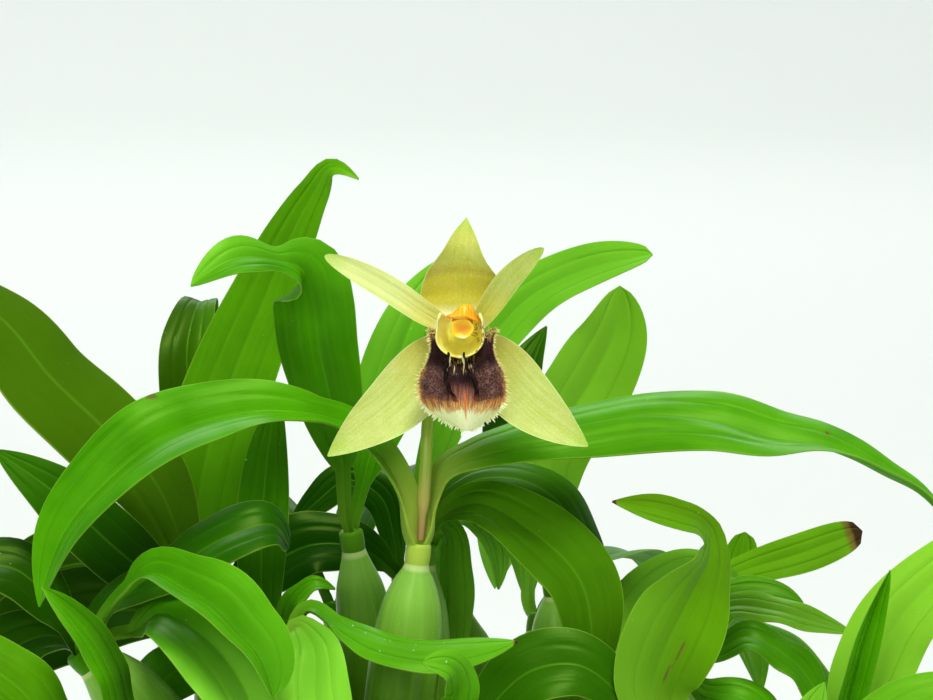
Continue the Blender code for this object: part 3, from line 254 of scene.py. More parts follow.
# The growth in flower, and the height of every collar.
MAIN_GROWTH = "01"
COLLAR = 3.5

# Each tepal: the midline's points from the flower's centre, its full width, and its shape.
SEPALS = {
    "sepal_dorsal": dict(
        route=[(0, 0.4, 2.7), (0, 0.8, 6), (-0.2, -0.4, 11), (0.2, -1.2, 15.5), (0.8, 0.8, 20.2)],
        width=15, faces=[(0, -1, 0), (0, -1, -0.3), (0, -1, -0.4), (0, -1, 0.3)],
        cup=0.28, swell=0.36, taper=1.25, claw=2.0),
    "sepal_left": dict(
        route=[(-1.9, 0, -1.9), (-6, -0.4, -6.6), (-11.5, -1.6, -12.6), (-18, -3.2, -17.6), (-24, -5, -22)],
        width=11.5, faces=[(0, -1, 0.1), (-0.1, -1, 0.1), (0, -1, 0.2)],
        cup=0.16, swell=0.5, taper=0.92, claw=2.0),
    "sepal_right": dict(
        route=[(1.9, 0, -1.9), (6.5, -0.2, -7), (11.5, -0.6, -12.5), (17, -1, -17), (22.6, -1.5, -20.8)],
        width=11.5, faces=[(0.2, -1, 0.1), (0.3, -1, 0.1), (0.3, -1, 0.2)],
        cup=0.16, swell=0.5, taper=0.92, claw=2.0),
}
PETALS = {
    "petal_left": dict(
        route=[(-2.6, 0, 0.9), (-7, 0, 3.6), (-12, 0.5, 7), (-18, 1, 10.4), (-24.5, 1.5, 13.5)],
        width=4.7, faces=[(0, -1, 0.1), (0, -1, 0.2)],
        cup=0.14, swell=0.5, taper=0.6, claw=1.8),
    "petal_right": dict(
        route=[(2.6, 0, 1.0), (5.5, -0.6, 5.5), (8.3, -2, 9.6), (11.5, -3.6, 13), (14.4, -5, 15.6)],
        width=4.5, faces=[(0, -1, 0), (-0.3, -1, 0.1)],
        cup=0.14, swell=0.5, taper=0.65, claw=1.8),
}

# The lip's fringed plate: its half width at even steps from the top corners to the tip, its midline
# seen from the side as (forward, down) from the flower's centre, and how far its margin bends back.
LIP_HALF_WIDTHS = [6.0, 5.6, 5.6, 6.2, 7.3, 7.6, 7.4, 6.4, 4.4, 0.7]
LIP_MIDLINE = [(6.5, -0.7), (9, 3), (10, 8), (10, 13), (8.5, 17.8)]
LIP_MARGIN_BACK = 3.2
LIP_NOTCH = 3.6
KEEL_AT = 0.28
KEEL_HEIGHT = 0.8
KEEL_SPAN = (0.25, 0.75)

# The lip's side lobes round the column, a trough open above: sections of (forward, radius, rise).
# Each lobe stands up from the round floor by LOBE_HEIGHT radii and leans in by LOBE_LEAN radii.
THROAT_SECTIONS = [(3.3, 2.4, 0.2), (5.2, 3.2, 0.2), (7.5, 3.9, 0.3), (10, 4.0, 0.3)]
FLOOR_SHARE = 0.6
LOBE_HEIGHT = 1.0
LOBE_LEAN = 0.15

COLUMN_ROUTE = [(0, 3.9, 0.6), (0, 5.2, 1.9), (0.1, 7.0, 2.6)]
COLUMN_RADII = [1.3, 1.5, 2.2]

STALK_ROUTE = [(-7.9, -16.4, 51.2), (-7.3, -15.6, 60), (-6.9, -13.6, 67.5), (-5.5, -11.2, 74),
               (-3, -11.5, 80)]
STALK_RADIUS = 1.2


def medium_side(inset):
    """The vase's inner wall from top to bottom, moved in by a distance."""
    mouth = VASE_MOUTH_RADIUS - VASE_WALL - inset
    belly = VASE_BELLY_RADIUS - VASE_WALL - inset
    foot = VASE_FOOT_RADIUS - inset
    return [(mouth - 0.3, VASE_HEIGHT - 8),
            (mouth + 2, VASE_HEIGHT - 18),
            (belly - 0.6, VASE_BELLY_HEIGHT + 8),
            (belly - 2.6, VASE_BELLY_HEIGHT - 18),
            (belly - 9.6, VASE_BELLY_HEIGHT - 38),
            (foot + 4, 22),
            (foot - 4, VASE_FLOOR + inset)]


def vase_outer():
    """The vase's outer wall from the top of its rim down to the middle of its foot."""
    rim = [(VASE_MOUTH_RADIUS - VASE_WALL / 2, VASE_HEIGHT),
           (VASE_MOUTH_RADIUS - 0.6, VASE_HEIGHT - 0.8),
           (VASE_MOUTH_RADIUS, VASE_HEIGHT - 3)]
    outer = [(VASE_MOUTH_RADIUS - 0.5, VASE_HEIGHT - 7),
             (VASE_MOUTH_RADIUS + 2.5, VASE_HEIGHT - 16),
             (VASE_BELLY_RADIUS - 1, VASE_BELLY_HEIGHT + 14),
             (VASE_BELLY_RADIUS, VASE_BELLY_HEIGHT),
             (VASE_BELLY_RADIUS - 2, VASE_BELLY_HEIGHT - 18),
             (VASE_BELLY_RADIUS - 9, VASE_BELLY_HEIGHT - 38),
             (VASE_FOOT_RADIUS + 9, 22),
             (VASE_FOOT_RADIUS + 3, 8),
             (VASE_FOOT_RADIUS + 1, 1.2),
             (VASE_FOOT_RADIUS, 0),
             (0, 0)]
    return rim + outer


# The camera looks at the flower from in front and a little above, as the photo does.
PHOTO_WIDTH_MM = 167.94
CAMERA_DISTANCE = 700
CAMERA_DROP = 8
CAMERA_TARGET = (0, -15, 212)

# How finely a curve is worked out between two of its points, and how often a blade's turn is evened.
CURVE_STEPS = 24
TURN_PASSES = 3


def hermite(t, ends, slopes, span=1):
    """A point between two others, on the curve that has the given slope at each."""
    start = (2 * t**3 - 3 * t**2 + 1) * ends[0] + (t**3 - 2 * t**2 + t) * span * slopes[0]
    return start + ((3 * t**2 - 2 * t**3) * ends[1] + (t**3 - t**2) * span * slopes[1])


def smooth_route(points, count):
    """Evenly spaced points on one smooth curve through the route's own points."""
    pts = np.array(points, float)
    steps = np.linalg.norm(np.diff(pts, axis=0), axis=1)
    knots = np.concatenate([[0.0], np.cumsum(steps)])
    slopes = np.gradient(pts, knots, axis=0)
    slopes[0] = 1.5 * (pts[1] - pts[0]) / steps[0] - 0.5 * slopes[1]
    slopes[-1] = 1.5 * (pts[-1] - pts[-2]) / steps[-1] - 0.5 * slopes[-2]
    fine = []
    for i, span in enumerate(steps):
        for t in np.linspace(0.0, 1.0, CURVE_STEPS, endpoint=False):
            fine.append(hermite(t, pts[i:i + 2], slopes[i:i + 2], span))
    fine = np.array(fine + [pts[-1]])
    along = np.concatenate([[0.0], np.cumsum(np.linalg.norm(np.diff(fine, axis=0), axis=1))])
    even = np.linspace(0.0, along[-1], count)
    return stacked(*(np.interp(even, along, part) for part in fine.T))


def smooth_profile(points, count):
    """Evenly spaced points, (radius, height), on one smooth curve through a turned body's outline."""
    return smooth_route([(radius, 0, height) for radius, height in points], count)[:, ::2].tolist()


def eased(values, shares):
    """Numbers or vectors given at even steps, read smoothly at shares of the whole."""
    values = np.array(values, float)
    shares = np.atleast_1d(shares)
    if values.ndim == 0:
        return np.full(len(shares), float(values))
    table = values.reshape(len(values), -1)
    last = len(table) - 1
    slopes = np.gradient(table, axis=0)
    i = np.clip((shares * last).astype(int), 0, last - 1)
    t = (shares * last - i)[:, None]
    out = hermite(t, (table[i], table[i + 1]), (slopes[i], slopes[i + 1]))
    return out[:, 0] if values.ndim == 1 else out


def stacked(*parts):
    """Numbers and grids of them, put together as one vector for each point of the grid."""
    return np.stack(np.broadcast_arrays(*parts), axis=-1)


def unit_rows(vectors):
    """The vectors at a length of 1."""
    return vectors / np.maximum(np.linalg.norm(vectors, axis=-1, keepdims=True), 1e-9)


def soft_step(low, high, value):
    """0 up to low and 1 from high on, with a smooth rise between."""
    t = np.clip((value - low) / (high - low), 0, 1)
    return t * t * (3 - 2 * t)


def peak_at(value, centre, reach):
    """1 at a centre, falling away on both sides as a bell does."""
    return np.exp(-(((value - centre) / reach) ** 2))


def lance(share, swell, taper):
    """A lance-shaped outline: nothing at both ends and 1 where it is widest."""
    peak = (swell / (swell + taper)) ** swell * (taper / (swell + taper)) ** taper
    return np.clip(share, 0, 1) ** swell * np.clip(1 - share, 0, 1) ** taper / peak


def blade_frames(route, faces, stations):
    """The midrib's points with the blade's side and upward directions at each."""
    mid = smooth_route(route, stations)
    along = unit_rows(np.gradient(mid, axis=0))
    facing = eased(faces, np.linspace(0, 1, stations))
    up = unit_rows(facing - np.sum(facing * along, axis=1, keepdims=True) * along)
    for _ in range(TURN_PASSES):
        up[1:-1] = unit_rows(up[:-2] + 2 * up[1:-1] + up[2:])
    up = unit_rows(up - np.sum(up * along, axis=1, keepdims=True) * along)
    return mid, np.cross(along, up), up


def off_midrib(frames, out, rise):
    """Points beside a midrib, from how far each is to its side and above it."""
    mid, side, up = (part[:, None] for part in frames)
    return mid + side * out[..., None] + up * rise[..., None]


def add_object(name, data):
    """A new object of a mesh, a lamp or a camera, in the scene."""
    obj = bpy.data.objects.new(name, data)
    bpy.context.scene.collection.objects.link(obj)
    return obj


class Skin:
    """Gathers the closed pieces of one object, with where each point is on its piece.

    place is (share along, share across from -1 to 1, 1 on an upper side), kind is (millimetres
    along, millimetres across, the piece's own seed) and tint is (how light, partly painted light and
    shade, how yellow, how pale at its foot). The points are measured from the origin.
    """

    def __init__(self, origin=(0, 0, 0)):
        self.points, self.faces, self.place, self.kind, self.tint, self.slots = [], [], [], [], [], []
        self.count, self.origin = 0, origin

    def add(self, points, faces, place, kind, slot=0, tint=(0, 0)):
        self.points.append(np.asarray(points, float).reshape(-1, 3) + self.origin)
        self.place.append(np.asarray(place, float).reshape(-1, 3))
        self.kind.append(np.asarray(kind, float).reshape(-1, 3))
        self.tint.append(np.tile((*tint, 0.0), (len(self.points[-1]), 1)))
        self.faces += [tuple(int(v) + self.count for v in face) for face in faces]
        self.slots += [slot] * len(faces)
        self.count += len(self.points[-1])

    def build(self, name, mats, slot, nodes, sharp=50):
        mesh = bpy.data.meshes.new(name)
        mesh.from_pydata(np.concatenate(self.points) * MM, [], self.faces)
        for mat in mats:
            mesh.materials.append(mat)
        mesh.polygons.foreach_set("material_index", self.slots)
        shape = bmesh.new()
        shape.from_mesh(mesh)
        bmesh.ops.recalc_face_normals(shape, faces=shape.faces)
        shape.to_mesh(mesh)
        shape.free()
        for label, rows in (("place", self.place), ("kind", self.kind), ("tint", self.tint)):
            layer = mesh.attributes.new(label, "FLOAT_VECTOR", "POINT")
            layer.data.foreach_set("vector", np.concatenate(rows).astype(np.float32).ravel())
        mesh.shade_smooth()
        mesh.set_sharp_from_angle(angle=math.radians(sharp))
        obj = add_object(name, mesh)
        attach(obj, "root")
        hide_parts(*nodes)


def ring_faces(rings, size, caps=True):
    """The faces of a closed tube of rings, with its two ends closed."""
    faces = []
    for i in range(rings - 1):
        for j in range(size):
            k = (j + 1) % size
            faces.append((i * size + j, i * size + k, (i + 1) * size + k, (i + 1) * size + j))
    if caps:
        faces.append(tuple(range(size))[::-1])
        faces.append(tuple((rings - 1) * size + j for j in range(size)))
    return faces


def add_sheet(skin, upper, lower, shares, spread, length, half, tone, slot=0, tint=(0, 0)):
    """Adds a closed blade from the grids of its two sides, joined along both margins."""
    stations, across = upper.shape[:2]
    u, w = shares[:, None], np.concatenate([spread, spread[::-1]])
    rings = np.concatenate([upper, lower[:, ::-1]], axis=1)
    place = stacked(u, w, np.repeat([1, 0], across))
    kind = stacked(u * length, w * half[:, None], tone)
    skin.add(rings, ring_faces(stations, 2 * across), place, kind, slot, tint)


# Where a leaf's strips run from its midrib to its margin: closer together at the nerves.
HALF_STRIPS = [0.035, 0.09, 0.2, 0.33, 0.44, 0.5, 0.56, 0.66, 0.78, 0.89, 0.96, 1]
LEAF_STRIPS = np.array([-w for w in HALF_STRIPS[::-1]] + [0] + HALF_STRIPS)
LEAF_SPACING = 1.5
NERVE_AT = 0.5


# A leaf's base is this share of its width, up to this share of its length.
BASE_WIDTH = 0.62
BASE_REACH = 0.07
# The blade's thickness, what the petiole, midrib and nerves add to it, and how deep a nerve lies.
BLADE_THICK = 0.4
PETIOLE_THICK = 0.65
MIDRIB_THICK = 0.5
NERVE_THICK = 0.12
NERVE_DEPTH = 0.20
# Every leaf has so many stations and one more for each LEAF_SPACING of its length.
LEAF_STATIONS = 14
# How far the blade's halves bulge, how many waves run along it and how high they are.
BULGE = (0.05, 0.10)
WAVES = (2.2, 3.8)
WAVE_HEIGHT = (0.25, 0.6)


def leaf_surface(spec, rng):
    """The two sides of a leaf with its folded midrib, nerve furrows, crowned halves and waves."""
    route = spec["route"]
    length = sum(math.dist(a, b) for a, b in zip(route, route[1:]))
    stations = LEAF_STATIONS + round(length / LEAF_SPACING)
    frames = blade_frames(route, spec["faces"], stations)
    u = np.linspace(0, 1, stations)
    stalk = spec["stalk"]
    v = np.clip((u - stalk) / (1 - stalk), 0, 1)
    spread = lance(v, spec["swell"], spec["taper"])
    narrow = 0.5 * (spec["stalk_width"] * (1 - v) + TIP_WIDTH * v**2 * (1 - 0.7 * v**6))
    half = narrow * (1 - spread) + 0.5 * spec["width"] * spread
    half = half * (BASE_WIDTH + (1 - BASE_WIDTH) * soft_step(0.0, BASE_REACH, u))
    if spec["pinch"]:
        place, amount, reach = spec["pinch"]
        half *= 1 - amount * peak_at(u, place, reach)
    near_base = np.clip(1 - u / max(stalk * 1.6, 0.05), 0, 1)
    fold = eased(spec["fold"], u) if np.ndim(spec["fold"]) else np.full(stations, float(spec["fold"]))
    angle = np.radians(fold + (STALK_FOLD - fold) * near_base)

    w = LEAF_STRIPS
    away = np.sqrt(w**2 + 0.03**2) - 0.03
    out = np.cos(angle)[:, None] * (half[:, None] * w)
    rise = np.sin(angle)[:, None] * (half[:, None] * away)
    crowning = rng.uniform(*BULGE) * half[:, None] * 4 * np.abs(w) * (1 - np.abs(w)) * spread[:, None]
    waves, amount = rng.uniform(*WAVES), rng.uniform(*WAVE_HEIGHT)
    phase = rng.uniform(0, FULL_TURN, 2)
    beat = np.where(w < 0, np.sin(FULL_TURN * waves * u[:, None] + phase[0]),
                    np.sin(FULL_TURN * waves * 1.13 * u[:, None] + phase[1]))
    wave = amount * beat * np.abs(w) ** 1.6 * (4 * v * (1 - v))[:, None] * spread[:, None]
    furrow = -NERVE_DEPTH * peak_at(np.abs(w), NERVE_AT, 0.05) * soft_step(0, 0.4, spread)[:, None]
    upper = off_midrib(frames, out, rise + crowning + wave + furrow)
    petiole = np.clip(1 - v / 0.12, 0, 1)
    thick = (BLADE_THICK + PETIOLE_THICK * petiole)[:, None] * (1 - 0.4 * w**2)
    thick = thick + (MIDRIB_THICK * (1 - u) * spread)[:, None] * peak_at(w, 0, 0.07)
    thick = thick + NERVE_THICK * peak_at(np.abs(w), NERVE_AT, 0.06) * spread[:, None]
    thick = np.minimum(thick, (0.25 + half)[:, None])
    return upper, upper - frames[2][:, None] * thick[..., None], u, half, length


def add_lathe(skin, base, axis, profile, segments, tone=0, ribs=None, slot=0):
    """Adds a round body: profile is (radius, height) from one end to the other along an axis."""
    turn = np.array(Vector((0, 0, 1)).rotation_difference(Vector(axis)).to_matrix())
    angles = np.linspace(0, 2 * np.pi, segments, endpoint=False)
    radius, height = np.array(profile, float).T[:, :, None]
    share = height / height.max()
    radius = radius * (ribs(share, angles) if ribs else np.ones(segments))
    points = stacked(radius * np.cos(angles), radius * np.sin(angles), height) @ turn.T + base
    skin.add(points, ring_faces(len(height), segments), stacked(share, angles / np.pi - 1, 1),
             stacked(height, radius, tone), slot)


class Value:
    """What a node gives. With + - * / and abs, further nodes are made of it."""

    def __init__(self, graph, socket):
        self.graph, self.socket = graph, socket

    def __add__(self, other):
        return self.graph.math("ADD", self, other)

    def __radd__(self, other):
        return self.graph.math("ADD", other, self)

    def __sub__(self, other):
        return self.graph.math("SUBTRACT", self, other)

    def __rsub__(self, other):
        return self.graph.math("SUBTRACT", other, self)

    def __mul__(self, other):
        return self.graph.math("MULTIPLY", self, other)

    def __truediv__(self, other):
        return self.graph.math("DIVIDE", self, other)

    def __abs__(self):
        return self.graph.math("ABSOLUTE", self)


class Graph:
    """One procedural material: a Principled shader, its colour so far and the nodes that feed it."""

    def __init__(self, name):
        self.mat = bpy.data.materials.new(name)
        self.mat.use_nodes = True
        self.nodes, self.links = self.mat.node_tree.nodes, self.mat.node_tree.links
        self.shader = self.nodes["Principled BSDF"]
        self.colour = None

    def put(self, socket, value):
        if isinstance(value, Value):
            self.links.new(value.socket, socket)
        else:
            socket.default_value = (*value, 1) if socket.type == "RGBA" else value

    def node(self, kind, inputs=(), output=0, **settings):
        """Adds a node with what goes into its inputs, (name or number, value), and gives an output."""
        node = self.nodes.new("ShaderNode" + kind)
        for key, value in settings.items():
            setattr(node, key, value)
        for key, value in inputs:
            self.put(node.inputs[key], value)
        return Value(self, node.outputs[output])

    def math(self, kind, *values):
        return self.node("Math", enumerate(values), operation=kind)

    def step(self, value, low, high):
        """0 below low and 1 above high, or the other way round where low is the larger."""
        flip = float(low > high)
        ends = zip(("From Min", "From Max", "To Min", "To Max"), (*sorted((low, high)), flip, 1 - flip))
        return self.node("MapRange", [("Value", value), *ends], interpolation_type="SMOOTHSTEP")

    def near(self, value, centre, reach):
        """1 where a value is at a centre, falling to 0 a reach away from it."""
        return self.step(abs(value - centre), reach, 0.0)

    def mix(self, factor, a, b):
        return self.node("Mix", ((0, factor), (6, a), (7, b)), 2, data_type="RGBA")

    def lay(self, factor, paint, amount=None):
        """Mixes a paint into the colour so far by a factor, or by an amount of it."""
        self.colour = self.mix(factor if amount is None else factor * amount, self.colour, paint)

    def parts(self, name):
        """The three numbers of a stored point attribute."""
        stored = self.node("Attribute", (), "Vector", attribute_name=name)
        split = self.node("SeparateXYZ", [(0, stored)]).socket.node
        return [Value(self, output) for output in split.outputs]

    def vector(self, *values):
        return self.node("CombineXYZ", enumerate(values))

    def here(self):
        return self.node("TexCoord", (), "Object")

    def noise(self, scale, detail=3, rough=0.55, where=None, distort=0):
        inputs = (("Scale", scale), ("Detail", detail), ("Roughness", rough), ("Distortion", distort),
                  ("Vector", where or self.here()))
        return self.node("TexNoise", inputs, "Fac")

    def cells(self, scale):
        return self.node("TexVoronoi", (("Scale", scale), ("Vector", self.here())), "Distance")

    def bump(self, height, strength, distance):
        inputs = (("Strength", strength), ("Distance", distance), ("Height", height))
        self.put(self.shader.inputs["Normal"], self.node("Bump", inputs))

    def done(self, **values):
        """Gives the material with its colour and the shader's other values, named with _ for a space."""
        for key, value in dict(values, Base_Color=self.colour).items():
            self.put(self.shader.inputs[key.replace("_", " ")], value)
        return self.mat


def leaf_material(name, dust=0.0, tip_brown=0.0, stains=()):
    """Satin green with faint nerves and a paler petiole, lighter or darker by its tint with painted light
    and shade, and with painted shade towards its base. A stain is (along, across, its two reaches).
    """
    g = Graph(name)
    u, w, upper = g.parts("place")
    along, across, seed = g.parts("kind")
    light, warm, foot = g.parts("tint")
    off = abs(w)
    patches = g.noise(48, 3)
    streaks = g.noise(1.0, 4, 0.65, g.vector(across * 1.1, along * 0.02, seed))
    g.colour = g.mix(g.step(patches, 0.25, 0.75), (0.031, 0.188, 0.0006), (0.074, 0.335, 0.0016))
    g.lay(g.step(streaks, 0.35, 0.75), (0.085, 0.34, 0.003), 0.45)
    # The tint's lightness: partly the leaf's own tone, partly painted shade where it lies under others and
    # painted light where it is lit.
    g.lay(g.step(light, 0.0, -1.0), (0.007, 0.055, 0.0005))
    g.lay(g.step(light, 0.0, 1.0), (0.22, 0.62, 0.035))
    g.lay(g.step(warm, 0.0, 1.0), (0.185, 0.33, 0.006))
    rib = g.near(w, 0.0, 0.06)
    g.lay(rib, (0.15, 0.45, 0.02), 0.2)
    nerve = g.near(off, NERVE_AT, 0.04)
    g.lay(nerve, (0.025, 0.16, 0.001), 0.22)
    # Painted shade: darker towards the leaf's base, deep in the clump; a pale foot takes it away.
    painted_base_shade = g.step(u, 0.5, 0.15) * (0.4 - foot * 0.4)
    g.lay(painted_base_shade, (0.012, 0.085, 0.0005))
    petiole = g.step(u, 0.25, 0.05) * (foot * 0.9)
    g.lay(petiole, g.mix(foot, (0.2, 0.42, 0.02), (0.44, 0.6, 0.075)))
    below = 1.0 - upper
    g.lay(below, (0.11, 0.33, 0.012), 0.3)
    margin = g.step(off, 0.965, 0.995) * g.step(u, 0.1, 0.25)
    g.lay(margin, (0.34, 0.55, 0.06), 0.32)
    motes = g.step(g.cells(520), 0.11, 0.05)
    sparse = g.step(g.noise(100, 2), 0.62 - 0.22 * dust, 0.68 - 0.22 * dust)
    g.lay(motes * sparse, (0.5, 0.72, 0.36), 0.35 + 0.6 * dust)
    if tip_brown:
        edge = u + (g.noise(260, 3) - 0.5) * (0.3 * tip_brown + 0.01)
        g.lay(g.step(edge, 1 - 1.7 * tip_brown, 1 - 1.1 * tip_brown), (0.16, 0.13, 0.02))
        g.lay(g.step(edge, 1 - 1.1 * tip_brown, 1 - 0.7 * tip_brown), (0.045, 0.018, 0.01))
    for where, aside, reach, breadth in stains:
        du = (u - where) / reach
        dw = (w - aside) / breadth
        ragged = (g.noise(600, 3) - 0.5) * 1.6
        reached = g.math("SQRT", du * du + dw * dw)
        spot = reached + ragged
        g.lay(g.step(spot, 1.2, 0.5), (0.12, 0.055, 0.02), 0.75)
    height = streaks * 0.8 + g.noise(700, 2) * 0.25
    g.bump(height, 0.3, 0.00022)
    rough = 0.3 + g.noise(60, 3) * 0.14
    rough = rough + below * 0.14
    return g.done(Roughness=rough, Specular_IOR_Level=0.17, Specular_Tint=(0.6, 1.0, 0.15))


# Leaves with marks of their own: growth, leaf, dust, browned share of the tip, and stains.
LEAF_MARKS = {
    ("01", 0): dict(stains=[(0.60, 0.92, 0.009, 0.10)]),
    ("01", 1): dict(stains=[(0.725, -0.5, 0.004, 0.10)]),
    ("07", 1): dict(dust=0.5, tip_brown=0.01),
    ("09", 0): dict(dust=1.0),
    ("14", 0): dict(tip_brown=0.008, stains=[(0.32, 0.28, 0.045, 0.03), (0.25, 0.22, 0.03, 0.03)]),
    ("15", 0): dict(tip_brown=0.05),
}
# How light, from -1 to 1, and how yellow, from 0 to 1, each growth's leaves are. The lightness is partly
# the leaf's own tone and partly painted light and painted shade for how it lies lit or under others.
# A third number is how much lighter a leaf is painted at its tip than at its base, a fourth on its
# right half than in the middle: painted light and shade along the leaf and across its two halves.
TINTS = {
    "01": [(0, 0), (-0.08, 0.12, 0.35)], "02": [(-0.15, 0, 1, 0.15), (0.25, 0, 1, -0.15)],
    "03": [(-0.05, 0.25, 0.4), (-0.8, 0.2, 0, 0.2), (-1, 0.1)],
    "04": [(-0.75, 0.3, -0.2), (-0.9, 0.05, 0.6), (-0.9, 0.1)], "05": [(0.1, 0, 0.3), (0.4, 0.05, 1.6)],
    "06": [(-0.4, 0.1, 1, -0.3), (-0.25, 0.25)], "07": [(0.75, 0, 0.8), (0.15, 0.1, 0.3)],
    "08": [(-0.6, 0, -0.5), (-1, 0.1), (-0.8, 0.1, 0.8)], "09": [(0.1, 0.1, 0.6), (-0.1, 0)],
    "10": [(-0.7, 0.1, 0.3), (-0.5, 0.25, -0.2), (0.35, 0.2, 0.8, -0.15)], "11": [(0.9, 0.1), (-0.3, 0)],
    "12": [(0.75, 0.35, -0.4, -0.12), (-0.75, 0.1)], "13": [(0.45, 0.15), (-0.95, 0), (-1, 0)],
    "14": [(0.1, 0.4, -0.9, -0.25), (0.8, 0.3), (-0.7, 0.1)], "15": [(0.15, 0.4, 0.3), (-0.3, 0.3)],
    "16": [(0.7, 0.35, 0.4), (-0.3, 0.2)], "17": [(-0.5, 0.1), (-0.25, 0.1)], "18": [(1, 0.4), (0, 0.05)],
    "19": [(0.6, 0.2), (0.3, 0.2)], "20": [(0.1, 0.1, -0.8), (-0.55, 0), (-0.3, 0)],
    "21": [(-1, 0), (-1, 0)], "22": [(-0.5, 0.1), (0.6, 0.2)], "23": [(0, 0.1), (0, 0.2)],
    "24": [(-0.5, 0.1), (-0.4, 0.2)],
}
# How pale the petioles and the sheath of a growth are, and so how much of the painted shade at its
# leaves' base is taken away; one that isn't named here has the last.
PALE_FEET = {"01": 1.0, "02": 0.25, "07": 0.5, "08": 0.05, "13": 0.1, "20": 0.1, "21": 0.0, "others": 0.3}

# The petioles of the growth in flower clasp its stalk, one from each side.
CLASPING_FACES = [(0.95, -0.35, 0.1), (-0.95, -0.35, 0.1)]
LEAF_SEED = 100
# Each leaf's own seed for its streaks is drawn from 0 to this.
LEAF_TONES = 30
COLLAR_SEGMENTS = 40
COLLAR_STEPS = 12


def make_foliage():
    """Each growth's leaves in one piece, with the collar that they part from."""
    plain = leaf_material("leaf_green")
    for order, (name, spec) in enumerate(GROWTHS.items()):
        rng = np.random.default_rng(LEAF_SEED + order)
        base, neck = spec["base"], spec["neck"]
        axis = (neck - base) / np.linalg.norm(neck - base)
        mats, skin = [plain], Skin(CROWN)
        add_collar(skin, neck, axis, COLLAR)
        root = tuple(neck + axis * ROOT_DEPTH)
        for number, blade in enumerate(spec["leaves"]):
            if name == MAIN_GROWTH:
                blade = dict(blade, faces=[CLASPING_FACES[number]] + blade["faces"][1:])
            marks, slot = LEAF_MARKS.get((name, number)), 0
            if marks:
                slot = len(mats)
                mats.append(leaf_material("leaf_green_%s_%d" % (name, number), **marks))
            rooted = dict(blade, route=[root] + blade["route"])
            upper, lower, u, half, length = leaf_surface(rooted, rng)
            # A leaf's lightness, its rise towards the tip and its lean to one half are partly painted light
            # and painted shade.
            light, warm, rise, lean = (*TINTS[name][number], 0, 0)[:4]
            seed = rng.uniform(0, LEAF_TONES)
            add_sheet(skin, upper, lower, u, LEAF_STRIPS, length, half, seed, slot, (light, warm))
            along, across = skin.place[-1][:, 0], skin.place[-1][:, 1]
            skin.tint[-1][:, 0] += rise * (along - 0.5) + lean * np.clip(2 * across, -1, 1)
        for tint in skin.tint:
            tint[:, 2] = PALE_FEET.get(name, PALE_FEET["others"])
        skin.build("foliage_" + name, mats, "leaf", ["leaves_" + name])


def add_collar(skin, base, axis, height):
    """The short sheath from which the petioles part."""
    rise = np.linspace(0, 1, COLLAR_STEPS)
    radius = BULB_TOP_RADIUS * (1.0 + 0.05 * np.sin(np.pi * rise))
    last = radius[-1]
    profile = [(AXIS_RADIUS, 0)] + [(r, height * h) for r, h in zip(radius, rise)]
    profile += [(last * 0.82, height + 0.35), (last * 0.5, height + 0.1), (AXIS_RADIUS, height - 0.4)]
    add_lathe(skin, base, axis, profile, COLLAR_SEGMENTS)
    place = skin.place[-1]
    place[:, 0] *= 0.02
    place[:, 1] = 0.3


# How high a pseudobulb's ribs, its broad swells and its slow waves are, as shares of its radius.
BULB_RIBS = (0.012, 0.010, 0.006)
BULB_SEED = 300
BULB_SEGMENTS = 40
BULB_ROWS = 64


def bulb_material():
    g = Graph("pseudobulb_green")
    share, around, _ = g.parts("place")
    _, _, tone = g.parts("kind")
    streaks = g.noise(1.0, 4, 0.6, g.vector(around * 16, share * 1.2, tone))
    clouds = g.noise(85, 3)
    g.colour = g.mix(g.step(clouds, 0.3, 0.7), (0.092, 0.27, 0.0075), (0.136, 0.35, 0.015))
    g.lay(g.step(streaks, 0.4, 0.75), (0.28, 0.57, 0.06), 0.35)
    g.lay(g.step(share, 0.55, 0.98), (0.3, 0.6, 0.1), 0.5)
    g.lay(g.step(share, 0.965, 0.985), (0.55, 0.68, 0.25), 0.75)
    dots = g.step(g.cells(1000), 0.12, 0.06)
    g.lay(dots, (0.6, 0.75, 0.35), 0.25)
    fibres = g.noise(1.0, 5, 0.7, g.vector(around * 30, share * 2.0, tone))
    torn = share + (fibres - 0.5) * 0.35
    g.lay(g.step(torn, 0.24, 0.19), g.mix(fibres, (0.1, 0.055, 0.025), (0.42, 0.3, 0.16)))
    g.bump(streaks + g.noise(700, 3) * 0.4, 0.25, 0.00015)
    rough = 0.3 + g.step(torn, 0.26, 0.18) * 0.45
    return g.done(Roughness=rough, Specular_IOR_Level=0.28, Specular_Tint=(0.8, 1.0, 0.5))


def make_bulbs():
    """Each pseudobulb, turned about its own leaning axis, with low ribs."""
    mat = bulb_material()
    for order, (name, spec) in enumerate(GROWTHS.items()):
        rng = np.random.default_rng(BULB_SEED + order)
        base, neck = spec["base"], spec["neck"]
        length = np.linalg.norm(neck - base)
        knots = [(r * spec["thick"] / 2, h * length) for h, r in BULB_OUTLINE[::-1]]
        knots += [(BULB_TOP_RADIUS + 0.12, 0.985 * length), (BULB_TOP_RADIUS, length)]
        profile = [(AXIS_RADIUS, 0)] + smooth_profile(knots, BULB_ROWS) + [(AXIS_RADIUS, length)]
        phase, count = rng.uniform(0, FULL_TURN, 3), int(rng.integers(7, 10))

        def ribs(share, angle):
            fine, broad, slow = BULB_RIBS
            ripple = fine * np.cos(count * angle + phase[0]) + broad * np.cos(3 * angle + phase[1])
            return 1 + np.sin(np.pi * share) * (ripple + slow * np.sin(9 * share + 2 * angle + phase[2]))

        skin = Skin(CROWN)
        add_lathe(skin, base, (neck - base) / length, profile, BULB_SEGMENTS, rng.uniform(0, 9), ribs)
        skin.build("pseudobulb_" + name, [mat], "bulb", ["bulb_" + name])


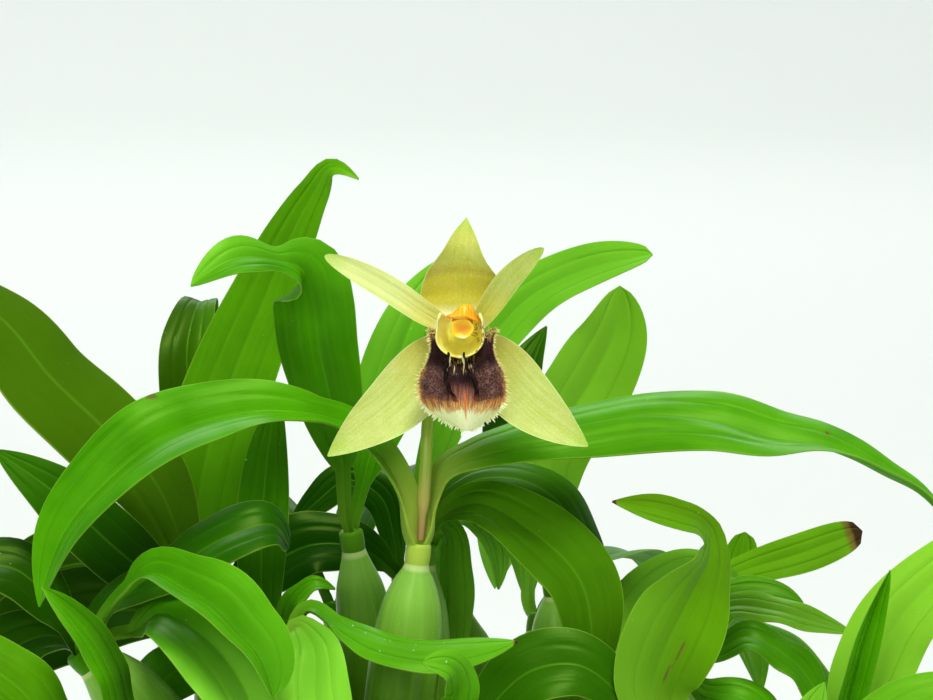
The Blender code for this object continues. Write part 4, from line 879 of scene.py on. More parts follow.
def stalk_material():
    g = Graph("flower_stalk_green")
    share, around, _ = g.parts("place")
    streaks = g.noise(1.0, 4, 0.6, g.vector(around * 9, share * 2.5))
    g.colour = g.mix(g.step(streaks, 0.35, 0.7), (0.25, 0.41, 0.024), (0.42, 0.57, 0.06))
    g.lay(g.step(share, 0.34, 0.1), (0.42, 0.29, 0.07), 0.75)
    g.lay(g.step(share, 0.16, 0.0), (0.36, 0.16, 0.06), 0.7)
    g.bump(streaks, 0.2, 0.0002)
    return g.done(Roughness=0.4, Coat_Weight=0.08, Coat_Roughness=0.3)


def add_tube(skin, points, radii, segments, facing, squash=None):
    """Adds a closed round tube along a route; squash shapes its section."""
    angles = np.linspace(0, 2 * np.pi, segments, endpoint=False)
    share = np.linspace(0, 1, len(radii))[:, None]
    grid = radii[:, None] * (squash(share, angles) if squash else np.ones(segments))
    frames = blade_frames(points, [facing, facing], len(radii))
    skin.add(off_midrib(frames, grid * np.cos(angles), grid * np.sin(angles)),
             ring_faces(len(radii), segments),
             stacked(share, angles / np.pi - 1, 1), stacked(share * 10, grid, 0))


# Where the stalk starts, hidden between the petioles, and its last points, behind and before the
# flower's centre.
STALK_FOOT = (-8.3, -15.4, 45.5)
STALK_END = [(0, 1.2, 0), (0, -2.2, 0)]
STALK_ROWS = 80
STALK_SEGMENTS = 30


def make_stalk():
    """The stalk, thickening into the ovary, whose end bears the flower."""
    route = [CROWN + point for point in [STALK_FOOT] + STALK_ROUTE]
    route += [FLOWER_CENTRE + point for point in STALK_END]
    u = np.linspace(0, 1, STALK_ROWS)
    radii = STALK_RADIUS * (1.05 - 0.15 * np.sin(np.pi * u)) + 0.55 * soft_step(0.62, 0.9, u)
    radii *= 0.6 + 0.4 * soft_step(0.08, 0.16, u)
    radii *= np.sqrt(np.clip(1 - soft_step(0.985, 1.0, u), 0.02, 1))

    def six_ribs(share, angle):
        return 1 + 0.05 * np.cos(6 * angle) * soft_step(0.55, 0.8, share)

    skin = Skin()
    add_tube(skin, route, radii, STALK_SEGMENTS, (0, -1, 0), six_ribs)
    skin.build("flower_stem", [stalk_material()], "stalk", ["flower_stalk"])


def tepal_material():
    """Yellow-green, ochre towards the flower's middle, with fine veins, painted glints on a grainy surface
    and, on the dorsal sepal, partly painted shade in its hood and along its crease.
    """
    g = Graph("tepal_yellow_green")
    u, w, _ = g.parts("place")
    along, across, seed = g.parts("kind")
    light, warm, _ = g.parts("tint")
    off = abs(w)
    veins = g.noise(1.0, 2, 0.5, g.vector(across * 1.9, along * 0.05, seed))
    mottle = g.noise(300, 4, 0.6)
    glint_grain = g.noise(3200, 2, 0.6)
    g.colour = g.mix(g.step(veins, 0.35, 0.7), (0.4, 0.49, 0.068), (0.475, 0.57, 0.122))
    # Paler by the tint's lightness, which is partly painted light on the better lit tepals.
    g.lay(light, (0.82, 0.88, 0.4))
    g.lay(warm, (0.52, 0.5, 0.02))
    g.lay(g.step(mottle, 0.35, 0.75), (0.76, 0.83, 0.34), 0.22)
    g.lay(g.step(u, 0.5, 0.1), (0.58, 0.5, 0.03), 0.6)
    g.lay(g.step(u, 0.13, 0.02), (0.8, 0.78, 0.4), 0.6)
    bent = u + off * off * 0.015
    # The dorsal sepal's lower, hooded part in deeper ochre: partly its own colour, partly painted shade
    # under the hood.
    hood_ochre_and_shade = warm * g.step(bent, 0.46, 0.4) * g.step(u, 0.08, 0.2)
    g.lay(hood_ochre_and_shade, (0.68, 0.6, 0.035), 1.2)
    # Painted shade: a darker band along the crease across the dorsal sepal.
    fold = warm * g.near(bent, 0.47, 0.08) * 1.1
    g.lay(fold, (0.44, 0.34, 0.01))
    g.lay(g.near(w, 0.0, 0.1), (0.46, 0.56, 0.06), 0.25)
    lines = g.step(g.math("SINE", across * 7.0), 0.8, 1.0)
    g.lay(lines, (0.42, 0.5, 0.06), 0.12)
    g.lay(g.step(u, 0.78, 0.97), (0.33, 0.53, 0.05), 0.65)
    green_edge = g.near(off, 0.86, 0.12) * g.step(u, 0.3, 0.7)
    g.lay(green_edge, (0.38, 0.58, 0.06), 0.28)
    g.lay(g.step(off, 0.955, 0.99), (0.84, 0.9, 0.5), 0.5)
    # Painted glints: pale flecks where the grainy surface would catch the light.
    g.lay(g.step(glint_grain, 0.45, 0.75), (0.86, 0.9, 0.48), 0.2)
    g.bump(veins + glint_grain * 0.5, 0.3, 0.00012)
    return g.done(Roughness=0.45, Specular_IOR_Level=0.22, Subsurface_Weight=0.12,
                  Subsurface_Radius=(0.6, 0.6, 0.2), Subsurface_Scale=0.0008)


# How pale and how ochre each of the flower's sepals and petals is. The paleness is partly painted light,
# paler on the better lit ones, and the dorsal sepal's ochre also sets its painted shade in the hood and
# crease.
TEPAL_TINTS = {"sepal_dorsal": (0.0, 0.55), "sepal_left": (0.12, 0.0), "sepal_right": (0.10, 0.0),
               "petal_left": (0.45, 0.0), "petal_right": (0.0, 0.05)}
HALF_TEPAL = [0.06, 0.15, 0.26, 0.38, 0.5, 0.64, 0.77, 0.88, 0.96, 1]
TEPAL_STRIPS = np.array([-w for w in HALF_TEPAL[::-1]] + [0] + HALF_TEPAL)
TEPAL_SEED = 500
TEPAL_STATIONS = 60
# Where the dorsal sepal is drawn in under its tip, how much and over what share.
DORSAL_PINCH = (0.68, 0.15, 0.17)
# A tepal's thickness and what its rib adds, and its ripples, its pleats and the furrow over its rib.
TEPAL_THICK = 0.40
TEPAL_RIB = 0.25
RIPPLE = 0.10
PLEAT = 0.05
FURROW = 0.14


def make_tepals():
    """The sepals and petals, each cupped, pleated and a little rippled."""
    mat = tepal_material()
    for order, (name, spec) in enumerate({**SEPALS, **PETALS}.items()):
        rng = np.random.default_rng(TEPAL_SEED + order)
        forward = PETAL_FORWARD if name in PETALS else 0
        frames = blade_frames(spec["route"], spec["faces"], TEPAL_STATIONS)
        u = np.linspace(0, 1, TEPAL_STATIONS)
        spread = lance(u, spec["swell"], spec["taper"])
        half = 0.5 * (spec["claw"] * (1 - u) + 0.25 * u) * (1 - spread) + 0.5 * spec["width"] * spread
        if name == "sepal_dorsal":
            place, amount, reach = DORSAL_PINCH
            half = half * (1 - amount * peak_at(u, place, reach))
        w = TEPAL_STRIPS
        out = half[:, None] * w
        cup = spec["cup"] * half[:, None] * w**2
        phase = rng.uniform(0, FULL_TURN, 2)
        ripple = RIPPLE * np.sin(7 * u[:, None] + np.where(w < 0, *phase)) * np.abs(w) ** 2 * spread[:, None]
        pleats = PLEAT * np.cos(w * half[:, None] * 4.2) * spread[:, None]
        rib = -FURROW * peak_at(w, 0, 0.07) * (1 - u)[:, None]
        upper = off_midrib(frames, out, cup + ripple + pleats + rib)
        thick = TEPAL_THICK * (1 - 0.45 * w**2) * (0.6 + 0.4 * (1 - u[:, None]))
        thick = thick + TEPAL_RIB * peak_at(w, 0, 0.1) * (1 - u)[:, None]
        lower = upper - frames[2][:, None] * thick[..., None]
        length = float(np.linalg.norm(np.diff(frames[0], axis=0), axis=1).sum())
        skin = Skin(FLOWER_CENTRE - (0, forward, 0))
        add_sheet(skin, upper, lower, u, w, length, half, order * 3.1, 0, TEPAL_TINTS[name])
        skin.build("flower_" + name, [mat], "tepal", [name])


# The lip. Shares run from its top corners to its tip, and from one margin, -1, to the other, 1.
# Its materials are used by number, in this order.
PLATE, LOBES, CREST, TEETH, VELVET = range(5)
LIP_SEED = 77
LIP_GRID = (96, 85)
LIP_THICK = 0.35
LIP_LENGTH = 20
CURVE_POINTS = 200
# The teeth of one side's layer, and how far along the margin's points they stray.
FRINGE_TEETH = 46
FRINGE_STRAY = 1.3
TUFT_HAIRS = 56
PAPILLAE = 2600
EDGE_POINTS = 400

# How far the fringe's teeth reach at shares down the margin, and how dark they are from 0 to 1.
FRINGE_AT = [0, 0.08, 0.3, 0.42, 0.55, 0.68, 0.8, 1]
FRINGE_REACH = [0.8, 0.6, 0.65, 0.85, 1.0, 0.9, 0.7, 0.65]
TONE_AT = [0, 0.06, 0.12, 0.34, 0.5, 0.7, 0.76]
TONES = [0.5, 0.6, 1, 1, 0.7, 0.45, 0]

# Each dark crest: its points over the cup's margin, then shares down and across the plate.
CRESTS = [
    dict(lead=[(-2.4, -10.3, -2.9), (-2.35, -10.75, -4.2)], down=[0.33, 0.4, 0.5, 0.6, 0.66],
         across=[-0.46, -0.42, -0.33, -0.22, -0.16]),
    dict(lead=[(0.25, -10.3, -2.9), (0.5, -10.75, -4.1)], down=[0.32, 0.38, 0.45, 0.55, 0.65],
         across=[0.20, 0.26, 0.31, 0.33, 0.31]),
]
# A crest's section: shares of its half thickness and of its height, and how thick it is there.
CREST_SECTION = [(-1, -0.25, 1.0), (-1, 0.35, 0.85), (-1, 0.8, 0.7), (-0.5, 1, 0.6),
                 (0.5, 1, 0.6), (1, 0.8, 0.7), (1, 0.35, 0.85), (1, -0.25, 1.0)]
CREST_ROWS = 80
CREST_HEIGHT = 1.5


def lip_surface(u, w):
    """The plate's points at shares along and across it, with a low swell under each crest."""
    route = smooth_route([(0, -forward, -down) for forward, down in LIP_MIDLINE], CURVE_POINTS)
    mid = stacked(*(np.interp(u, np.linspace(0, 1, CURVE_POINTS), part) for part in route.T))
    half = np.maximum(eased(LIP_HALF_WIDTHS, u.ravel()).reshape(u.shape), 0.3)
    back = LIP_MARGIN_BACK * np.abs(w) ** 2.2 * np.minimum(1, half / 4)
    notch = 1.4 * LIP_NOTCH * np.clip(1 - (w / 0.72) ** 2, 0, 1) * (1 - u) ** 3
    start, end = KEEL_SPAN
    span = soft_step(start - 0.12, start + 0.03, u) * soft_step(end + 0.12, end - 0.05, u)
    swell = 0.5 * KEEL_HEIGHT * peak_at(np.abs(w), KEEL_AT, 0.14) * span
    ruffle = 0.25 * np.sin(34 * u + 5 * w) * np.abs(w) ** 3
    return mid + stacked(half * w + 0.9 * u**5, back - swell + ruffle, 0.9 * u**3 - notch)


def lip_material():
    """Near-black flanks, a fuzzy grey-brown field, a tan brush and a cream border."""
    g = Graph("lip_brown_and_cream")
    u, w, _ = g.parts("place")
    off = abs(w)
    fan = g.noise(1.0, 4, 0.7, g.vector(w * 24, u * 3.4))
    ragged = (g.noise(800, 4, 0.65) - 0.5) * 0.1
    brush = ragged + (fan - 0.5) * 0.36
    down = u + brush
    dark = g.mix(g.step(fan, 0.35, 0.7), (0.012, 0.003, 0.004), (0.04, 0.01, 0.012))
    specks = g.step(g.cells(2300), 0.2, 0.55)
    fuzzy = g.mix(specks, (0.045, 0.012, 0.009), (0.24, 0.125, 0.1))
    fuzzy = g.mix(g.step(g.noise(520, 4, 0.7), 0.42, 0.62) * 0.75, fuzzy, (0.11, 0.03, 0.018))
    reddish = g.step(fan, 0.55, 0.68) * g.step(off, 0.95, 0.6)
    fuzzy = g.mix(reddish * 0.6, fuzzy, (0.2, 0.055, 0.03))
    field = g.step(u + ragged, 0.28, 0.42) * g.step(off, 0.3, 0.42)
    g.colour = g.mix(field, dark, fuzzy)
    middle = g.step(off, 0.34, 0.24) * g.step(u, 0.42, 0.62)
    mauve = g.mix(g.step(fan, 0.4, 0.62), (0.36, 0.15, 0.1), (0.13, 0.033, 0.02))
    g.lay(middle, mauve)
    tan = g.mix(g.step(fan, 0.4, 0.56), (0.8, 0.47, 0.13), (0.36, 0.1, 0.03))
    g.lay(g.step(down, 0.6, 0.7), tan)
    cream = g.mix(g.noise(500, 3), (0.9, 0.95, 0.42), (0.95, 0.99, 0.6))
    outer = g.step(off, 0.88, 0.99) * g.step(u, 0.3, 0.45)
    g.lay(outer, (0.5, 0.24, 0.07), 0.75)
    g.lay(g.step(down - off * 0.03, 0.72, 0.79), cream)
    line = g.near(w, 0.06, 0.05) * (g.step(u, 0.52, 0.62) * g.step(u, 0.9, 0.8))
    g.lay(line, (0.66, 0.17, 0.035), 0.85)
    stripes = g.step(g.noise(1.0, 2, 0.5, g.vector(w * 34, u * 5.0, 7.0)), 0.55, 0.63)
    top = g.step(u, 0.38, 0.28) * g.step(off, 0.42, 0.36)
    g.lay(top * stripes, (0.72, 0.6, 0.24))
    corner = g.step(u + brush * 0.6, 0.13, 0.03) * g.step(off, 0.3, 0.5)
    g.lay(corner, g.mix(g.step(fan, 0.42, 0.58), (0.56, 0.34, 0.09), (0.24, 0.07, 0.018)))
    g.bump(specks + fan * 0.8, 0.45, 0.00018)
    return g.done(Roughness=0.65, Specular_IOR_Level=0.15)


def fringe_material():
    """Teeth that are cream at the tip of the lip, tan at its sides and dark-rooted above."""
    g = Graph("lip_fringe")
    u, _, _ = g.parts("place")
    _, _, tone = g.parts("kind")
    foot = g.mix(g.step(tone, 0.0, 0.5), (0.88, 0.93, 0.42), (0.5, 0.24, 0.07))
    foot = g.mix(g.step(tone, 0.5, 1.0), foot, (0.045, 0.014, 0.01))
    tip = g.mix(g.step(tone, 0.0, 0.6), (0.94, 0.98, 0.62), (0.86, 0.78, 0.3))
    g.colour = g.mix(g.step(u, 0.12, 0.6), foot, tip)
    g.bump(g.noise(2200, 2), 0.2, 0.0001)
    return g.done(Roughness=0.5, Specular_IOR_Level=0.25)


def velvet_material():
    g = Graph("lip_velvet")
    u, _, _ = g.parts("place")
    _, _, tone = g.parts("kind")
    pale = g.mix(tone, (0.13, 0.06, 0.05), (0.4, 0.29, 0.27))
    g.bump(g.noise(2500, 2), 0.2, 0.0001)
    g.colour = g.mix(g.step(u, 0.2, 0.9), (0.03, 0.01, 0.01), pale)
    return g.done(Roughness=0.6, Specular_IOR_Level=0.2)


def throat_material():
    """Pale yellow lobes round a brighter hollow, with brown veins on the right one."""
    g = Graph("lip_lobes_yellow")
    u, w, _ = g.parts("place")
    off = abs(w)
    veins = g.noise(1.0, 4, 0.7, g.vector(w * 12, u * 6.0, 3.0), 0.8)
    g.colour = g.mix(g.noise(400, 3), (0.96, 0.86, 0.1), (0.97, 0.9, 0.2))
    g.lay(g.step(off, 0.42, 0.85), (0.92, 0.9, 0.34), 0.7)
    g.lay(g.step(u, 0.82, 0.98), (0.92, 0.88, 0.36), 0.5)
    g.lay(g.near(w, 0.0, 0.05) * g.step(u, 0.5, 0.8), (0.86, 0.84, 0.42))
    ember = g.near(w, -0.07, 0.07) * g.step(u, 0.8, 0.95)
    g.lay(ember, (0.9, 0.4, 0.02), 0.8)
    spread = g.step(w, 0.36, 0.5) * g.step(w, 0.92, 0.8)
    speckled = g.step(veins, 0.5, 0.56) * spread
    g.lay(speckled, (0.16, 0.055, 0.018), 0.85)
    slant = w + (u - 0.8) * 0.5
    streak = g.near(slant, 0.4, 0.045) * g.step(u, 0.55, 0.7)
    g.lay(streak, (0.14, 0.035, 0.015), 0.9)
    g.bump(veins, 0.2, 0.0001)
    return g.done(Roughness=0.45, Specular_IOR_Level=0.2, Subsurface_Weight=0.7,
                  Subsurface_Radius=(1.0, 0.9, 0.35), Subsurface_Scale=0.0012)


def crest_material():
    """Dark wavy crests whose upper flanks are cream."""
    g = Graph("lip_crests")
    u, flank, high = g.parts("place")
    g.colour = g.mix(g.step(high, 0.2, 0.9), (0.045, 0.012, 0.009), (0.01, 0.003, 0.002))
    pale = g.step(u, 0.44, 0.34) * g.step(flank, -0.2, -0.6)
    pale = pale * g.step(high, 0.95, 0.75)
    g.lay(pale, (0.9, 0.8, 0.45))
    g.lay(g.step(u, 0.85, 1.0), (0.3, 0.1, 0.05), 0.6)
    g.bump(g.noise(1600, 3), 0.3, 0.00015)
    return g.done(Roughness=0.6, Specular_IOR_Level=0.1)


# A spike's sections: shares of its length and of its breadth.
SPIKE_SECTIONS = [(-0.15, 1.0), (0.35, 0.8), (0.75, 0.42)]
# How far a spike bends forward, as a share of its length.
SPIKE_SAG = 0.12


def add_spikes(skin, roots, ends, breadth, tones, slot):
    """Adds thin closed spikes, each a bent four-sided cone from a root to its end."""
    along = ends - roots
    sag = np.array([0, -1, 0]) * SPIKE_SAG * np.linalg.norm(along, axis=1, keepdims=True)
    direction = unit_rows(along)
    aside = unit_rows(np.cross(direction, np.array([0.13, 0.9, 0.41])))
    other = np.cross(direction, aside)
    faces = ring_faces(3, 4, caps=False) + [(3, 2, 1, 0)] + [(8 + q, 8 + (q + 1) % 4, 12) for q in range(4)]
    for k in range(len(roots)):
        points, place = [], []
        for share, width in SPIKE_SECTIONS:
            spot = roots[k] + along[k] * share + sag[k] * share**2 * 4
            for q in range(4):
                angle = np.pi / 2 * q
                turn = np.cos(angle) * aside[k] * breadth[k] + np.sin(angle) * other[k] * breadth[k] * 0.6
                points.append(spot + turn * width)
                place.append((share, 0, 1))
        points.append(ends[k] + sag[k] * 4)
        place.append((1, 0, 1))
        skin.add(points, faces, place, [(0, 0, tones[k])] * len(points), slot)


LOBE_ROWS = 40
LOBE_COLUMNS = 71
# Three small sections close the trough's back: how far behind the first one, and their radii.
LOBE_BACK = [(0.3, 0.3), (0.25, 1.2), (0.12, 2.0)]


def add_throat(skin):
    """The side lobes: a round-floored trough, closed behind, whose two walls curl in at the top."""
    shares = np.linspace(0, 1, LOBE_ROWS)
    forward, radius, rise = (eased(part, shares) for part in np.array(THROAT_SECTIONS).T)
    forward = np.concatenate([[forward[0] - behind for behind, _ in LOBE_BACK], forward])
    radius = np.concatenate([[small for _, small in LOBE_BACK], radius])
    rise = np.concatenate([[rise[0]] * len(LOBE_BACK), rise])
    shares = np.concatenate([[0] * len(LOBE_BACK), shares])
    t = shares[:, None]
    span = np.linspace(-1, 1, LOBE_COLUMNS)
    angle = np.radians(90 * np.clip(span / FLOOR_SHARE, -1, 1))
    up = np.clip((np.abs(span) - FLOOR_SHARE) / (1 - FLOOR_SHARE), 0, 1)
    lean = 0.5 * LOBE_LEAN * up + 0.10 * np.clip(up - 0.6, 0, 1) ** 2 / 0.16
    tall = LOBE_HEIGHT * (up - 0.06 * up**4) * (1 - 0.10 * soft_step(0.85, 1, t))
    flare = (1 + 0.02 * soft_step(0.8, 1, t)) * radius[:, None]
    wavy = 1 + 0.02 * np.sin(9 * span + 5 * t) * np.abs(span)
    x = flare * np.sin(angle) * (1 - lean) * wavy - 0.4 * t
    z = rise[:, None] + flare * (tall - np.cos(angle)) + 0.45 * soft_step(0.6, 1, t) * np.cos(angle)
    inner = stacked(x, -forward[:, None], z)
    outward = unit_rows(np.cross(np.gradient(inner, axis=0), np.gradient(inner, axis=1)))
    outward *= -np.sign(outward[-1, LOBE_COLUMNS // 2, 2])
    thick = 0.36 - 0.14 * soft_step(0.9, 1, t)
    add_sheet(skin, inner, inner + outward * thick[..., None], shares, span, 7, radius * 2, 1, LOBES)


def add_crests(skin):
    """The two wavy crests, each from over the cup's margin down the plate."""
    s = np.linspace(0, 1, CREST_ROWS)
    sides, highs, _ = np.array(CREST_SECTION).T
    for order, crest in enumerate(CRESTS):
        foot = lip_surface(np.array(crest["down"]), np.array(crest["across"]))
        route = smooth_route(crest["lead"] + foot.tolist(), CREST_ROWS)
        route[:, 0] += 0.10 * np.sin(30 * s + 2 * order)
        turned = soft_step(0.1, 0.3, s)
        lift = unit_rows(stacked(0, -0.55 - 0.45 * turned, 0.8 * (1 - turned)))
        tall = CREST_HEIGHT * np.sin(np.pi * np.clip(0.06 + 0.93 * s, 0, 1)) ** 0.6
        tall = tall * (1 - 0.35 * s) * (1 + 0.10 * np.sin(41 * s))
        aside = np.array([(1, -1)[order], 0, 0]) * (0.24 + 0.18 * soft_step(0.0, 0.2, s))[:, None]
        rings = np.stack([route + lift * (tall * high)[:, None] - aside * side * thick
                          for side, high, thick in CREST_SECTION], axis=1)
        place = stacked(s[:, None], sides, np.maximum(highs, 0))
        skin.add(rings, ring_faces(CREST_ROWS, len(CREST_SECTION)), place, 0 * rings, CREST)


def add_fringe(skin, rng):
    """The thin teeth all round the plate's margin, from one top corner to the tip and up again."""
    edge = np.linspace(0, 1, EDGE_POINTS)
    for side in (-1, 1):
        line = lip_surface(edge, np.full(EDGE_POINTS, float(side)))
        along = unit_rows(np.gradient(line, axis=0))
        outside = unit_rows(stacked(-along[:, 2], 0, along[:, 0])) * side
        for layer in range(2):
            picks = np.linspace(2, EDGE_POINTS - 3, FRINGE_TEETH)
            picks = picks + rng.normal(0, FRINGE_STRAY, FRINGE_TEETH) + 3 * layer
            picks = np.clip(picks, 0, EDGE_POINTS - 1).astype(int)
            at = edge[picks]
            reach = np.interp(at, FRINGE_AT, FRINGE_REACH) * rng.uniform(0.6, 1.25, len(picks))
            sway = rng.normal(0, 0.16, (len(picks), 3)) * reach[:, None]
            roots = line[picks] - outside[picks] * 0.2
            ends = line[picks] + outside[picks] * reach[:, None] + sway + (0, (0.15, -0.2)[layer], 0)
            breadth = np.interp(at, [0, 0.7, 0.85], [0.24, 0.25, 0.27])
            tones = np.interp(at, TONE_AT, TONES) + rng.uniform(-0.08, 0.08, len(picks))
            add_spikes(skin, roots, ends, breadth, tones, TEETH)


def add_tufts(skin, rng):
    """A brush of tan hairs at each top corner of the plate."""
    n = TUFT_HAIRS
    for side in (-1, 1):
        foot = lip_surface(rng.uniform(0.0, 0.05, n), side * rng.uniform(0.62, 1.0, n))
        reach = rng.uniform(0.5, 1.3, (n, 1))
        way = stacked(side * rng.uniform(0.1, 1.0, n), rng.uniform(-0.6, -0.1, n), rng.uniform(-0.1, 1.0, n))
        add_spikes(skin, foot, foot + unit_rows(way) * reach, np.full(n, 0.12), rng.uniform(0.55, 1.0, n),
                   TEETH)


def add_velvet(skin, rng):
    """Short papillae over the two fuzzy fields of the plate."""
    n = PAPILLAE
    down, across = rng.uniform(0.26, 0.66, n), rng.uniform(0.33, 0.97, n)
    across *= rng.choice([-1, 1], n)
    foot = lip_surface(down, across)
    tall = rng.uniform(0.12, 0.30, n)
    ends = foot + stacked(0.5 * np.sign(across) * tall, -tall, rng.normal(-0.05, 0.08, n))
    shade = rng.uniform(0, 1, n) * np.clip((down - 0.26) / 0.12, 0, 1)
    add_spikes(skin, foot, ends, np.full(n, 0.05), shade, VELVET)


def make_lip():
    """The lip: its plate with the fringe, crests and velvet on it, and its side lobes."""
    rng = np.random.default_rng(LIP_SEED)
    skin = Skin(FLOWER_CENTRE)
    rows, columns = (np.linspace(start, 1, count) for start, count in zip((0, -1), LIP_GRID))
    upper = lip_surface(*np.meshgrid(rows, columns, indexing="ij"))
    normal = unit_rows(np.cross(np.gradient(upper, axis=0), np.gradient(upper, axis=1)))
    normal *= np.where(normal[..., 1:2] > 0, -1, 1)
    half = eased(LIP_HALF_WIDTHS, rows)
    add_sheet(skin, upper, upper - normal * LIP_THICK, rows, columns, LIP_LENGTH, half, 0, PLATE)
    add_throat(skin)
    add_crests(skin)
    add_fringe(skin, rng)
    add_velvet(skin, rng)
    add_tufts(skin, rng)
    mats = [lip_material(), throat_material(), crest_material(), fringe_material(), velvet_material()]
    skin.build("flower_lip", mats, "lip", ["lip"])


# How the column and its hood shine and let light in.
COLUMN_SHINE = dict(Specular_IOR_Level=0.35, Subsurface_Weight=0.1, Subsurface_Radius=(0.6, 0.3, 0.1),
                    Subsurface_Scale=0.0006)


def column_material():
    """Orange-yellow, redder along its lines."""
    g = Graph("column_yellow")
    u, around, _ = g.parts("place")
    lines = g.noise(1.0, 3, 0.6, g.vector(around * 7, u * 1.2, 1.0))
    g.colour = g.mix(g.step(u, 0.15, 0.8), (0.84, 0.6, 0.05), (0.92, 0.44, 0.012))
    g.lay(g.step(lines, 0.55, 0.66), (0.88, 0.24, 0.01), 0.45)
    g.lay(g.noise(900, 3), (0.96, 0.66, 0.08), 0.25)
    g.bump(lines, 0.25, 0.0002)
    return g.done(Roughness=0.38, **COLUMN_SHINE)


def stigma_material():
    """A yellow bowl, orange inside, whose lower lip is whitish."""
    g = Graph("column_stigma")
    u, around, _ = g.parts("place")
    g.colour = g.mix(g.step(u, 0.6, 0.95), (0.97, 0.62, 0.03), (0.96, 0.42, 0.012))
    low = g.near(around, -0.5, 0.3)
    rim = g.step(u, 0.3, 0.45) * g.step(u, 0.7, 0.6)
    g.lay(low * rim, (0.88, 0.84, 0.48))
    g.bump(g.noise(1200, 3), 0.2, 0.0001)
    return g.done(Roughness=0.35, Specular_IOR_Level=0.35, Subsurface_Weight=0.4,
                  Subsurface_Radius=(1.0, 0.6, 0.2), Subsurface_Scale=0.001)


# The hood seen from the front, from its left point over its top to its right point, and its
# lower margin back to the left point: (sideways, up).
HOOD_TOP = [(-2.9, 3.4), (-1.7, 3.9), (-0.85, 4.7), (-0.3, 5.3), (0.7, 5.55), (1.7, 5.3), (2.2, 4.5),
            (2.45, 3.6), (3.15, 2.6)]
HOOD_LOW = [(3.15, 2.6), (2.2, 2.9), (1.2, 3.2), (0.3, 3.25), (-0.8, 3.15), (-1.8, 3.2), (-2.9, 3.4)]
# The stigma's bowl, from its outer wall over its rim and into its hollow: (radius, forward).
STIGMA_PROFILE = [(1.5, 6.2), (1.8, 7.2), (2.05, 8.2), (2.12, 8.75), (1.95, 9.05), (1.6, 8.95), (1.25, 8.65),
                  (0.8, 8.45), (0.05, 8.4)]


# The hood's sections: shares of its outline, how far forward, and whether it is on the front.
HOOD_SECTIONS = [(1.0, 6.6, 0), (1.0, 8.7, 0), (1.02, 9.1, 1), (0.97, 9.35, 1), (0.86, 9.45, 1),
                 (0.7, 9.65, 1),
                 (0.5, 9.85, 1), (0.28, 9.98, 1), (0.1, 10.02, 1)]
HOOD_MIDDLE = np.array((0.55, 0, 4.1))
HOOD_POINTS = (44, 30)
COLUMN_ROWS = 24
COLUMN_SEGMENTS = 40
STIGMA_ROWS = 30
STIGMA_SEGMENTS = 48
STIGMA_AT = (0.05, 0, 1.55)
# The column's materials by number; its body has the first.
STIGMA, HOOD = 1, 2


def add_hood(skin):
    """A cushion with the hood's outline: its front bulges and its lower margin stands out."""
    top, low = (smooth_route([(x, 0, z) for x, z in side], count)
                for side, count in zip((HOOD_TOP, HOOD_LOW), HOOD_POINTS))
    outline = np.concatenate([top, low[1:-1]])
    corners = np.clip(np.abs(np.linspace(-1, 1, len(top))) * 6 - 5, 0, 1)
    is_low = np.concatenate([corners, np.ones(len(low) - 2)])
    rings, place = [], []
    for share, forward, front in HOOD_SECTIONS:
        ring = HOOD_MIDDLE + (outline - HOOD_MIDDLE) * share
        fold = 0.10 * np.cos(3.2 * (ring[:, 0] - 0.45)) * front * (1 - share)
        ring[:,
             1] = -forward - fold + 0.35 * np.abs(ring[:, 0] - 0.4) * share - 0.3 * is_low * (share > 0.85)
        rings.append(ring)
        place.append(stacked(share, ring[:, 0] / 3, is_low))
    rings = np.array(rings)
    skin.add(rings, ring_faces(*rings.shape[:2]), place, 0 * rings, HOOD)


def hood_material():
    g = Graph("column_hood")
    share, across, low = g.parts("place")
    lines = g.noise(1.0, 3, 0.6, g.vector(across * 9.0, share * 0.8, 1.0))
    g.colour = g.mix(g.step(lines, 0.35, 0.6), (0.95, 0.6, 0.03), (0.93, 0.42, 0.01))
    g.lay(g.step(lines, 0.58, 0.66), (0.88, 0.2, 0.008), 0.7)
    margin = g.step(share, 0.74, 0.92) * low
    g.lay(margin, (0.8, 0.11, 0.006), 0.9)
    wings = g.step(abs(across), 0.52, 0.8)
    g.lay(wings, (0.86, 0.22, 0.01), 0.75)
    g.bump(lines, 0.3, 0.0002)
    return g.done(Roughness=0.36, **COLUMN_SHINE)


def make_column():
    """The column: its stout body, the stigma's bowl and the hood above it."""
    u = np.linspace(0, 1, COLUMN_ROWS)
    radii = eased(COLUMN_RADII, u) * np.sqrt(np.clip(1 - soft_step(0.9, 1.0, u), 0.03, 1)) * 0.93
    skin = Skin(FLOWER_CENTRE)
    add_tube(skin, [(x, -forward, up) for x, forward, up in COLUMN_ROUTE], radii, COLUMN_SEGMENTS, (0, 0, 1))

    def oval(_, angle):
        return 1 - 0.12 * np.sin(angle) ** 2 + 0.02 * np.cos(5 * angle)

    profile = [(AXIS_RADIUS, 6.0)] + smooth_profile(STIGMA_PROFILE, STIGMA_ROWS)
    add_lathe(skin, STIGMA_AT, (0, -1, 0), profile, STIGMA_SEGMENTS, 0, oval, STIGMA)
    facing = skin.points[-1] - FLOWER_CENTRE - STIGMA_AT
    skin.place[-1][:, 0] = np.repeat(np.linspace(0, 1, len(profile)), STIGMA_SEGMENTS)
    skin.place[-1][:, 1] = np.arctan2(facing[:, 2], facing[:, 0]) / np.pi
    add_hood(skin)
    mats = [column_material(), stigma_material(), hood_material()]
    skin.build("flower_column", mats, "column", ["column"])


